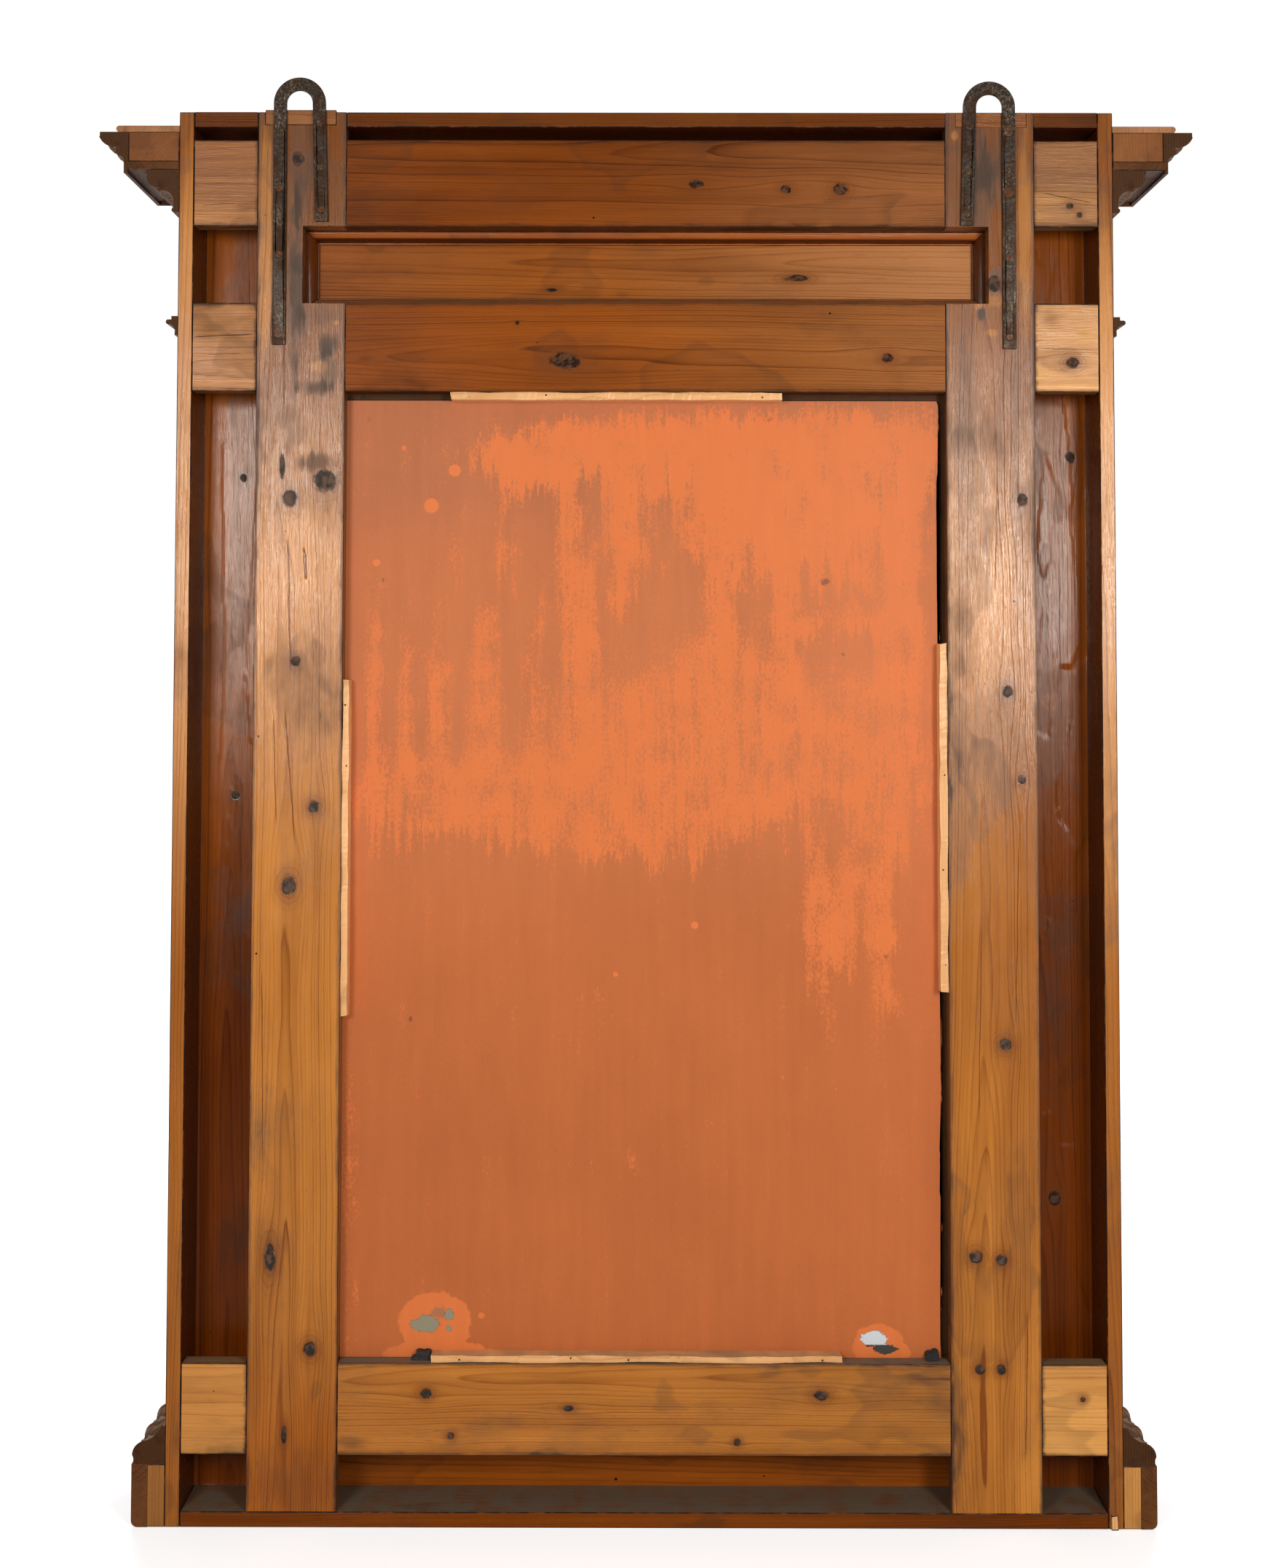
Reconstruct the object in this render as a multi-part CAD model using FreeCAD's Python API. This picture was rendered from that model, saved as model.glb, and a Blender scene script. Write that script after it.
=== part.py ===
import FreeCAD, Part
import math
import os

# A tall architectural mirror: a pine carcass with a stile and rail frame, mitred mouldings and iron hangers.
# Lengths are millimetres. +Z is up, the mirror faces -Y and its back faces +Y.
# The origin lies on the floor, under the middle of the whole object.
# Depth is measured from the back plane of the stiles towards the mirror's face.
# Left and right are as seen by someone who looks into the mirror, so left is -X.

Vector = FreeCAD.Vector

# Opening for the mirror plate, and the frame round it
OPENING_WIDTH = 878.0
OPENING_HEIGHT = 1397.0
STILE_WIDTH = 129.0
FRAME_THICKNESS = 25.0
BOTTOM_RAIL = 129.0
MIDDLE_RAIL = 130.0
UPPER_RAIL = 127.5
TENON_LENGTH = 28.0
END_TENON_LENGTH = 22.0
TENON_SHOULDER = 14.0
TENON_BACK = 14.0
TENON_THICKNESS = 8.0
MORTISE_END_GAP = 1.0

# Carcass boards, and the open bays between them and the frame
BAY_WIDTH = 94.0
BOTTOM_BAY = 80.0
TOP_SLOT = 19.5
SIDE_BOARD = 22.0
TOP_BOARD = 22.0
BOTTOM_BOARD = 22.0
BAY_DEPTH = 87.0
FRONT_BOARD = 23.0
TONGUE_LENGTH = 6.0
TONGUE_THICKNESS = 9.0
TONGUE_STOP = 14.0
FRONT_TONGUE_LENGTH = 10.0

# Frieze tray: a moulded frame, grooved for the panel
TRAY_HEIGHT = 113.0
TRAY_NOTCH = 62.5
TRAY_DEPTH = 51.0
FRIEZE_PANEL = 24.0
FRIEZE_WALL = 12.0
FRIEZE_BEAD_WIDTH = 16.5
FRIEZE_BEAD_DEPTH = 16.0
FRIEZE_FILLET = 3.0
PANEL_GROOVE = 8.0
PANEL_GROOVE_GAP = 1.0

# Mirror plate, its sight moulding and what holds it from behind
# Strip and wedge margins run from the sides, or from the foot and head, of the opening
PLATE_THICKNESS = 6.0
PLATE_SIDE_GAP = 7.0
PLATE_TOP_GAP = 10.0
SIGHT_LAP = 14.0
SIGHT_WIDTH = 77.0
SIGHT_PROUD = 12.0
SIGHT_LIP = 13.0
SIGHT_PEARL_RADIUS = 6.0
SIGHT_FILLET = 4.0
SIGHT_NOSE = 9.0
STRIP_THICKNESS = 10.0
LEFT_STRIP_THICKNESS = 12.0
STRIP_BACK = 2.0
STRIP_LAP = 2.0
TOP_STRIP_MARGINS = (239.0, 153.0)
BOTTOM_STRIP_MARGINS = (154.0, 133.0)
LEFT_STRIP_MARGINS = (526.0, 365.0)
RIGHT_STRIP_MARGINS = (490.0, 418.0)
WEDGE_MARGINS = {"left": 25.0, "right": 120.0}
WEDGE_WIDTH = 22.0
WEDGE_HEIGHT = 11.0
WEDGE_LENGTH = 14.0
WEDGE_TIP = 3.0

# Iron hangers: a flat bar bent to a U, one leg longer than the other
HANGER_WIDTH = 19.3
HANGER_THICKNESS = 5.0
HANGER_BEND = 18.8
HANGER_LONG_LEG = 356.0
HANGER_SHORT_LEG = 175.0
HANGER_SPLAY = 4.5
HANGER_RISE = {"left": 7.0, "right": 12.0}
HANGER_SHIFT = {"left": -0.8, "right": 3.5}
HANGER_FIRST_SCREW = {"long": 36.0, "short": 30.0}
HANGER_LAST_SCREW = 17.0
SCREW_SPACING = {"long": (0.0, 0.30, 0.62, 1.0), "short": (0.0, 0.51, 1.0)}
LARGE_SCREWS = {"left": (0, 1), "right": (0, 3)}
SCREW_HEADS = {"large": 14.5, "small": 9.6}
SCREW_SHANK = 4.8
SHANK_FLATS = 8
SCREW_BITE = 16.0
SCREW_CLEARANCE = 0.15
SCREW_SLOT_WIDTH = 1.5
SCREW_SLOT_DEPTH = 1.2
SCREW_SLOT_ANGLE = 37.0
FILLET_INNER_MARGIN = 15.0
FILLET_OUTER_MARGIN = 10.0
FILLET_HEIGHT = 22.0
FILLET_DEPTH = 13.0
FILLET_RISE = {"left": 0.0, "right": 3.0}

# Cornice, from the top of the carcass down
COVER_DROP = 20.3
COVER_THICKNESS = 9.2
COVER_REACH = 93.0
CROWN_HEIGHT = 43.5
CROWN_REACH = 117.0
CROWN_NOSE = 5.5
CROWN_BEAD_REACH = 88.5
CROWN_BEAD_START = 8.5
CROWN_BEAD_HEIGHT = 12.0
CROWN_FILLET = 2.5
CORNICE_PACKING = 75.0
CORONA_THICKNESS = 12.4
CORONA_REACH = 81.6
CORONA_LIP_WIDTH = 6.0
CORONA_LIP_DROP = 5.2
BED_HEIGHT = 63.0
BED_REACH = 49.0
BED_NOSE = 6.0
BED_OVOLO_HEIGHT = 28.6
BED_FILLET_REACH = 29.0
BED_FILLET_HEIGHT = 3.0
BED_COVE_REACH = 8.0
BED_COVE_HEIGHT = 14.0
BED_BEAD_HEIGHT = 7.0

# String moulding, base moulding and plinth
STRING_DROP = 19.6
STRING_HEIGHT = 28.0
STRING_NOSE_REACH = 14.5
STRING_TOP_REACH = 9.0
STRING_TOP_FILLET = 5.0
STRING_NOSE = 7.0
STRING_FOOT_REACH = 4.0
STRING_FOOT_FILLET = 4.0
PLINTH_HEIGHT = 88.5
PLINTH_PACKING = 24.5
PLINTH_FACING = 23.0
PLINTH_CORNER = 9.0
BASE_HEIGHT = 54.0
BASE_REACH = 45.0
BASE_FOOT = 13.0
BASE_CUSP_REACH = 28.0
BASE_CUSP_HEIGHT = 31.0
BASE_TOP_REACH = 3.0
SHIM_WIDTH = 10.5
SHIM_HEIGHT = 22.0
SHIM_THICKNESS = 4.0
SHIM_TAPER = 1.5
SHIM_INSET = 3.0

# Cutting prisms pass this far beyond the pieces that they cut
CUT_MARGIN = 5.0

SIDES = {"left": -1, "right": 1}

# Half widths, depths and levels worked out from the driving dimensions
stile_inner = OPENING_WIDTH / 2
stile_outer = stile_inner + STILE_WIDTH
stile_middle = stile_inner + STILE_WIDTH / 2
side_inner = stile_outer + BAY_WIDTH
side_outer = side_inner + SIDE_BOARD
tray_half = stile_inner + TRAY_NOTCH
frieze_half = tray_half + FRIEZE_WALL
carcass_depth = BAY_DEPTH + FRONT_BOARD
plate_front = FRAME_THICKNESS + PLATE_THICKNESS
panel_front = TRAY_DEPTH + FRIEZE_PANEL
back_y = (carcass_depth + CROWN_REACH - HANGER_THICKNESS) / 2

bottom_rail_z = BOTTOM_BOARD + BOTTOM_BAY
opening_low = bottom_rail_z + BOTTOM_RAIL
opening_high = opening_low + OPENING_HEIGHT
tray_low = opening_high + MIDDLE_RAIL
tray_high = tray_low + TRAY_HEIGHT
upper_rail_top = tray_high + UPPER_RAIL
top_board_z = upper_rail_top + TOP_SLOT
top_z = top_board_z + TOP_BOARD

sight_half = stile_inner - SIGHT_LAP
sight_low = opening_low + SIGHT_LAP
sight_high = opening_high - SIGHT_LAP
pilaster_inner = sight_half + SIGHT_WIDTH
apron_top = sight_low - SIGHT_WIDTH
head_low = sight_high + SIGHT_WIDTH
head_high = tray_low - FRIEZE_WALL
upper_front_low = tray_high + FRIEZE_WALL

cover_low = top_z - COVER_DROP - COVER_THICKNESS
crown_low = cover_low - CROWN_HEIGHT
corona_low = crown_low - CORONA_THICKNESS
bed_low = corona_low - BED_HEIGHT
string_high = tray_low - STRING_DROP
string_low = string_high - STRING_HEIGHT
plinth_reach = PLINTH_PACKING + PLINTH_FACING

RAIL_LEVELS = {
    "bottom": (bottom_rail_z, opening_low),
    "middle": (opening_high, tray_low),
    "upper": (tray_high, upper_rail_top),
}

parts = {}


def arc_bulge(degrees):
    """How far an arc that turns by an angle swells, as a share of half its chord."""
    return math.tan(math.radians(degrees) / 4)


HALF_ROUND = arc_bulge(180)
FULL_ROUND = arc_bulge(148)
QUARTER_ROUND = arc_bulge(84)
SHALLOW_ROUND = arc_bulge(56)


def y_at(depth):
    return back_y - depth


def box(x_range, depth_range, z_range):
    x0, x1 = sorted(x_range)
    near, far = depth_range
    z0, z1 = z_range
    return Part.makeBox(x1 - x0, far - near, z1 - z0, Vector(x0, y_at(far), z0))


def mirrored(side, inner, outer):
    """The x range between two distances from the middle, on one side."""
    return (side * inner, side * outer)


def outline_face(outline, place):
    """A face from (u, v, bulge) points, where a bulge swells the edge after its point to the left."""
    edges = []
    for (u0, v0, bulge), (u1, v1, _) in zip(outline, outline[1:] + outline[:1]):
        start = place(u0, v0)
        end = place(u1, v1)
        if bulge == 0:
            edges.append(Part.makeLine(start, end))
            continue
        middle = place((u0 + u1) / 2 - bulge * (v1 - v0) / 2, (v0 + v1) / 2 + bulge * (u1 - u0) / 2)
        edges.append(Part.Arc(start, middle, end).toShape())
    return Part.Face(Part.Wire(edges))


def straight(*points):
    return [(u, v, 0) for u, v in points]


def plan_prism(points, z_range):
    """A prism on an outline of (x, depth) points."""
    face = outline_face(straight(*points), lambda x, depth: Vector(x, y_at(depth), z_range[0]))
    return face.extrude(Vector(0, 0, z_range[1] - z_range[0]))


def elevation_prism(outline, depth_range):
    """A prism on an outline of (x, z, bulge) points."""
    face = outline_face(outline, lambda x, z: Vector(x, y_at(depth_range[0]), z))
    return face.extrude(Vector(0, depth_range[0] - depth_range[1], 0))


def wrapped_moulding(outline):
    """A front length and two side returns of one (projection, z) outline, mitred at the front corners."""
    reach = max(point[0] for point in outline)
    levels = [point[1] for point in outline]
    z_range = (min(levels) - reach, max(levels) + reach)
    inside = -CUT_MARGIN
    outside = reach + CUT_MARGIN
    half = side_outer + outside
    front_face = outline_face(outline, lambda p, z: Vector(-half, y_at(carcass_depth + p), z))
    front_plan = [
        (side * (side_outer + offset), carcass_depth + offset)
        for side, offset in ((-1, inside), (1, inside), (1, outside), (-1, outside))
    ]
    run = front_face.extrude(Vector(2 * half, 0, 0))
    lengths = {"front": run.common(plan_prism(front_plan, z_range))}
    for label, side in SIDES.items():
        face = outline_face(outline, lambda p, z: Vector(side * (side_outer + p), y_at(0), z))
        plan = [
            (side * (side_outer + inside), inside),
            (side * (side_outer + inside), carcass_depth + inside),
            (side * (side_outer + outside), carcass_depth + outside),
            (side * (side_outer + outside), inside),
        ]
        run = face.extrude(Vector(0, -carcass_depth - outside, 0))
        lengths[label] = run.common(plan_prism(plan, z_range))
    return lengths


def add_moulding(name, outline):
    for label, length in wrapped_moulding(outline).items():
        parts[f"{name}_{label}"] = length


def mitred_frame(name, outline, half_width, z_low, z_high):
    """Four members of one (distance outwards, depth) outline round a rectangular opening, mitred."""
    reach = max(point[0] for point in outline)
    depths = [point[1] for point in outline]
    depth_range = (min(depths) - reach, max(depths) + reach)
    inside = -CUT_MARGIN
    outside = reach + CUT_MARGIN
    half = half_width + outside
    for label, level, way in (("top", z_high, 1), ("bottom", z_low, -1)):
        face = outline_face(outline, lambda r, depth: Vector(-half, y_at(depth), level + way * r))
        corners = straight(
            (-half_width - inside, level + way * inside),
            (half_width + inside, level + way * inside),
            (half_width + outside, level + way * outside),
            (-half_width - outside, level + way * outside),
        )
        run = face.extrude(Vector(2 * half, 0, 0))
        parts[f"{name}_{label}"] = run.common(elevation_prism(corners, depth_range))
    bottom = z_low - outside
    for label, side in SIDES.items():
        face = outline_face(outline, lambda r, depth: Vector(side * (half_width + r), y_at(depth), bottom))
        corners = straight(
            (side * (half_width + inside), z_low - inside),
            (side * (half_width + inside), z_high + inside),
            (side * (half_width + outside), z_high + outside),
            (side * (half_width + outside), z_low - outside),
        )
        run = face.extrude(Vector(0, 0, z_high - z_low + 2 * outside))
        parts[f"{name}_{label}"] = run.common(elevation_prism(corners, depth_range))


def tenon(x_range, z_range):
    """A tenon between its shoulders, or the mortise for it."""
    depth_range = (TENON_BACK, TENON_BACK + TENON_THICKNESS)
    return box(x_range, depth_range, (z_range[0] + TENON_SHOULDER, z_range[1] - TENON_SHOULDER))


def board_tongue(side, z_range):
    """The tongue at the end of the top or bottom board, or its housing, stopped short of the back edge."""
    middle = (z_range[0] + z_range[1]) / 2
    levels = (middle - TONGUE_THICKNESS / 2, middle + TONGUE_THICKNESS / 2)
    return box(mirrored(side, side_inner, side_inner + TONGUE_LENGTH), (TONGUE_STOP, BAY_DEPTH), levels)


def make_carcass():
    board_levels = {"top_board": (top_board_z, top_z), "bottom_board": (0, BOTTOM_BOARD)}
    for label, side in SIDES.items():
        board = box(mirrored(side, side_inner, side_outer), (0, carcass_depth), (0, top_z))
        housings = [board_tongue(side, levels) for levels in board_levels.values()]
        for levels in RAIL_LEVELS.values():
            housings.append(tenon(mirrored(side, side_inner, side_inner + TONGUE_LENGTH), levels))
        parts["side_board_" + label] = board.cut(housings)
    for name, levels in board_levels.items():
        board = box((-side_inner, side_inner), (0, carcass_depth), levels)
        parts[name] = board.fuse([board_tongue(side, levels) for side in SIDES.values()]).removeSplitter()
    notch_depths = (-CUT_MARGIN, FRAME_THICKNESS)
    notches = [
        box(mirrored(side, stile_inner, stile_outer), notch_depths, (0, top_z + CUT_MARGIN))
        for side in SIDES.values()
    ]
    parts["top_board"] = parts["top_board"].cut(notches)


def make_rails():
    for name, levels in RAIL_LEVELS.items():
        rail = box((-stile_inner, stile_inner), (0, FRAME_THICKNESS), levels)
        tenons = [
            tenon(mirrored(side, stile_inner, stile_inner + TENON_LENGTH), levels) for side in SIDES.values()
        ]
        parts[name + "_rail"] = rail.fuse(tenons).removeSplitter()
        end_rails = []
        for side in SIDES.values():
            body = box(mirrored(side, stile_outer, side_inner), (0, FRAME_THICKNESS), levels)
            ends = mirrored(side, stile_outer - END_TENON_LENGTH, side_inner + TONGUE_LENGTH)
            end_rails.append(body.fuse(tenon(ends, levels)).removeSplitter())
        parts[name + "_end_rails"] = Part.makeCompound(end_rails)


def hanger_centre(label):
    return stile_middle + HANGER_SHIFT[label], top_z + HANGER_RISE[label]


def screw_places():
    """Every hanger screw as (side label, index of its leg's hole, leg, x, z)."""
    places = []
    line = HANGER_BEND + HANGER_WIDTH / 2
    for label, side in SIDES.items():
        centre_x, centre_z = hanger_centre(label)
        for leg, length, outwards in (("long", HANGER_LONG_LEG, 1), ("short", HANGER_SHORT_LEG, -1)):
            first = HANGER_FIRST_SCREW[leg]
            travel = length - HANGER_LAST_SCREW - first
            for index, share in enumerate(SCREW_SPACING[leg]):
                down = first + share * travel
                splay = HANGER_SPLAY * down / length if leg == "short" else 0
                x = side * (centre_x + outwards * line - splay)
                places.append((label, index, leg, x, centre_z - down))
    return places


def screw_size(label, index, leg):
    return "large" if leg == "long" and index in LARGE_SCREWS[label] else "small"


def screw_head(x, z, head, clearance=0.0):
    """A countersunk head as deep as the hanger, or with a clearance the hole for it."""
    back = Vector(x, y_at(-HANGER_THICKNESS), z)
    neck = SCREW_SHANK / 2 + clearance
    return Part.makeCone(head / 2 + clearance, neck, HANGER_THICKNESS, back, Vector(0, -1, 0))


def screw_shank(x, z, clearance=0.0):
    """A shank without its thread, or with a clearance the hole for it in the wood."""
    reach = SCREW_SHANK / 2 + clearance
    flats = [2 * math.pi * index / SHANK_FLATS for index in range(SHANK_FLATS)]
    outline = straight(*[(x + reach * math.cos(angle), z + reach * math.sin(angle)) for angle in flats])
    return elevation_prism(outline, (0, SCREW_BITE + clearance))


def screw(x, z, head, turn):
    slot = box(
        (x - head, x + head),
        (-HANGER_THICKNESS - CUT_MARGIN, -HANGER_THICKNESS + SCREW_SLOT_DEPTH),
        (z - SCREW_SLOT_WIDTH / 2, z + SCREW_SLOT_WIDTH / 2),
    )
    slot.rotate(Vector(x, 0, z), Vector(0, 1, 0), turn)
    return screw_head(x, z, head).cut(slot).fuse(screw_shank(x, z))


def head_fillet(label):
    """The packing fillet let into a stile's head, level with its back."""
    x_range = mirrored(SIDES[label], stile_inner + FILLET_INNER_MARGIN, stile_outer - FILLET_OUTER_MARGIN)
    high = top_z + FILLET_RISE[label]
    return box(x_range, (0, FILLET_DEPTH), (high - FILLET_HEIGHT, high))


def make_stiles():
    fillets = []
    for label, side in SIDES.items():
        fillet = head_fillet(label)
        places = [(x, z) for place, _, _, x, z in screw_places() if place == label]
        holes = [screw_shank(x, z, SCREW_CLEARANCE) for x, z in places]
        cuts = [box(mirrored(side, 0, tray_half), (-CUT_MARGIN, carcass_depth), (tray_low, tray_high))]
        for levels in RAIL_LEVELS.values():
            inner_end = stile_inner + TENON_LENGTH + MORTISE_END_GAP
            outer_end = stile_outer - END_TENON_LENGTH - MORTISE_END_GAP
            cuts.append(tenon(mirrored(side, stile_inner, inner_end), levels))
            cuts.append(tenon(mirrored(side, outer_end, stile_outer), levels))
        stile = box(mirrored(side, stile_inner, stile_outer), (0, FRAME_THICKNESS), (BOTTOM_BOARD, top_z))
        parts["stile_" + label] = stile.cut(cuts + [fillet] + holes)
        fillets.append(fillet.cut(holes))
    parts["stile_head_fillets"] = Part.makeCompound(fillets)


def make_hangers():
    outer = HANGER_BEND + HANGER_WIDTH
    inner = HANGER_BEND
    outline = [
        (outer, -HANGER_LONG_LEG, 0),
        (outer, 0, -HALF_ROUND),
        (-outer, 0, 0),
        (-outer - HANGER_SPLAY, -HANGER_SHORT_LEG, 0),
        (-inner - HANGER_SPLAY, -HANGER_SHORT_LEG, 0),
        (-inner, 0, HALF_ROUND),
        (inner, 0, 0),
        (inner, -HANGER_LONG_LEG, 0),
    ]
    for label, side in SIDES.items():
        centre_x, centre_z = hanger_centre(label)
        face = outline_face(outline, lambda u, v: Vector(side * (centre_x + u), y_at(0), centre_z + v))
        strap = face.extrude(Vector(0, HANGER_THICKNESS, 0))
        holes = [
            screw_head(x, z, SCREW_HEADS[screw_size(label, index, leg)], SCREW_CLEARANCE)
            for place, index, leg, x, z in screw_places()
            if place == label
        ]
        parts["hanger_" + label] = strap.cut(holes)
    screws = {size: [] for size in SCREW_HEADS}
    for count, (label, index, leg, x, z) in enumerate(screw_places()):
        size = screw_size(label, index, leg)
        screws[size].append(screw(x, z, SCREW_HEADS[size], count * SCREW_SLOT_ANGLE))
    for size, solids in screws.items():
        parts["hanger_screws_" + size] = Part.makeCompound(solids)


def make_frieze():
    wall = FRIEZE_BEAD_WIDTH
    outer = wall + FRIEZE_WALL
    shoulder = wall - FRIEZE_FILLET
    near_bead = TRAY_DEPTH - FRIEZE_BEAD_DEPTH
    near_lip = TRAY_DEPTH - FRIEZE_FILLET
    far_lip = panel_front + FRIEZE_FILLET
    far_bead = panel_front + FRIEZE_BEAD_DEPTH
    groove = PANEL_GROOVE + PANEL_GROOVE_GAP
    outline = [
        (outer, FRAME_THICKNESS, 0),
        (wall, FRAME_THICKNESS, 0),
        (wall, near_bead, 0),
        (shoulder, near_bead, QUARTER_ROUND),
        (FRIEZE_FILLET, near_lip, 0),
        (0, near_lip, 0),
        (0, TRAY_DEPTH, 0),
        (groove, TRAY_DEPTH, 0),
        (groove, panel_front, 0),
        (0, panel_front, 0),
        (0, far_lip, 0),
        (FRIEZE_FILLET, far_lip, QUARTER_ROUND),
        (shoulder, far_bead, 0),
        (wall, far_bead, 0),
        (wall, carcass_depth, 0),
        (outer, carcass_depth, 0),
    ]
    half = tray_half - wall
    low = tray_low + wall
    high = tray_high - wall
    mitred_frame("frieze_frame", outline, half, low, high)
    parts["frieze_panel"] = box(
        (-half - PANEL_GROOVE, half + PANEL_GROOVE),
        (TRAY_DEPTH, panel_front),
        (low - PANEL_GROOVE, high + PANEL_GROOVE),
    )


def make_front_boards():
    """Pilaster boards, with the three boards tongued between them."""
    depth_range = (BAY_DEPTH, carcass_depth)
    middle = (BAY_DEPTH + carcass_depth) / 2
    tongue_depths = (middle - TONGUE_THICKNESS / 2, middle + TONGUE_THICKNESS / 2)
    levels_by_name = {
        "apron_board": (BOTTOM_BOARD, apron_top),
        "head_board": (head_low, head_high),
        "upper_front_board": (upper_front_low, top_board_z),
    }
    tongue_reach = pilaster_inner + FRONT_TONGUE_LENGTH
    tongues = []
    for name, levels in levels_by_name.items():
        tongue = box((-tongue_reach, tongue_reach), tongue_depths, levels)
        board = box((-pilaster_inner, pilaster_inner), depth_range, levels)
        parts[name] = board.fuse(tongue).removeSplitter()
        tongues.append(tongue)
    frieze = box((-frieze_half, frieze_half), (0, carcass_depth + CUT_MARGIN), (head_high, upper_front_low))
    for label, side in SIDES.items():
        board = box(mirrored(side, pilaster_inner, side_inner), depth_range, (BOTTOM_BOARD, top_board_z))
        parts["pilaster_board_" + label] = board.cut(tongues + [frieze])


def make_sight_moulding():
    front = carcass_depth + SIGHT_PROUD
    lip_front = plate_front + SIGHT_LIP
    pearl_end = SIGHT_FILLET + 2 * SIGHT_PEARL_RADIUS
    cyma_start = pearl_end + SIGHT_FILLET
    cyma_end = SIGHT_WIDTH - SIGHT_NOSE
    cyma_low = lip_front + SIGHT_FILLET
    cyma_high = front - SIGHT_FILLET
    cyma_middle = ((cyma_start + cyma_end) / 2, (cyma_low + cyma_high) / 2)
    outline = [
        (0, plate_front, 0),
        (SIGHT_LAP, plate_front, 0),
        (SIGHT_LAP, FRAME_THICKNESS, 0),
        (SIGHT_WIDTH, FRAME_THICKNESS, 0),
        (SIGHT_WIDTH, front, 0),
        (cyma_end, front, 0),
        (cyma_end, cyma_high, -QUARTER_ROUND),
        (*cyma_middle, QUARTER_ROUND),
        (cyma_start, cyma_low, 0),
        (pearl_end, cyma_low, 0),
        (pearl_end, lip_front, -HALF_ROUND),
        (SIGHT_FILLET, lip_front, 0),
        (0, lip_front, 0),
    ]
    mitred_frame("sight_moulding", outline, sight_half, sight_low, sight_high)


def within(limits, margins):
    """The range that is left between two limits, with a margin at each."""
    return (limits[0] + margins[0], limits[1] - margins[1])


def make_plate():
    plate_low = -stile_inner + PLATE_SIDE_GAP
    plate_levels = (opening_low, opening_high - PLATE_TOP_GAP)
    parts["mirror_plate"] = box((plate_low, stile_inner), (FRAME_THICKNESS, plate_front), plate_levels)
    depth_range = (STRIP_BACK, FRAME_THICKNESS)
    top_levels = (opening_high - PLATE_TOP_GAP - STRIP_LAP, opening_high)
    bottom_levels = (opening_low, opening_low + STRIP_THICKNESS)
    left_levels = within((opening_low, opening_high), LEFT_STRIP_MARGINS)
    right_levels = within((opening_low, opening_high), RIGHT_STRIP_MARGINS)
    left_range = (-stile_inner, -stile_inner + LEFT_STRIP_THICKNESS)
    right_range = (stile_inner - STRIP_THICKNESS, stile_inner)
    top_range = within((-stile_inner, stile_inner), TOP_STRIP_MARGINS)
    bottom_range = within((-stile_inner, stile_inner), BOTTOM_STRIP_MARGINS)
    parts["glazing_strip_top"] = box(top_range, depth_range, top_levels)
    parts["glazing_strip_bottom"] = box(bottom_range, depth_range, bottom_levels)
    parts["glazing_strip_left"] = box(left_range, depth_range, left_levels)
    parts["glazing_strip_right"] = box(right_range, depth_range, right_levels)
    wedge = straight(
        (FRAME_THICKNESS, opening_low),
        (FRAME_THICKNESS, opening_low + WEDGE_HEIGHT),
        (FRAME_THICKNESS - WEDGE_LENGTH, opening_low + WEDGE_TIP),
        (FRAME_THICKNESS - WEDGE_LENGTH, opening_low),
    )
    wedges = []
    for label, side in SIDES.items():
        start = side * (stile_inner - WEDGE_MARGINS[label]) - WEDGE_WIDTH / 2
        face = outline_face(wedge, lambda depth, z: Vector(start, y_at(depth), z))
        wedges.append(face.extrude(Vector(WEDGE_WIDTH, 0, 0)))
    parts["plate_wedges"] = Part.makeCompound(wedges)


def packing_blocks(reach, z_range):
    """A block behind the front length, and one at each side that ends level with the carcass front."""
    half = side_outer + reach
    blocks = [box((-half, half), (carcass_depth, carcass_depth + reach), z_range)]
    for side in SIDES.values():
        blocks.append(box(mirrored(side, side_outer, half), (0, carcass_depth), z_range))
    return Part.makeCompound(blocks)


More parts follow.
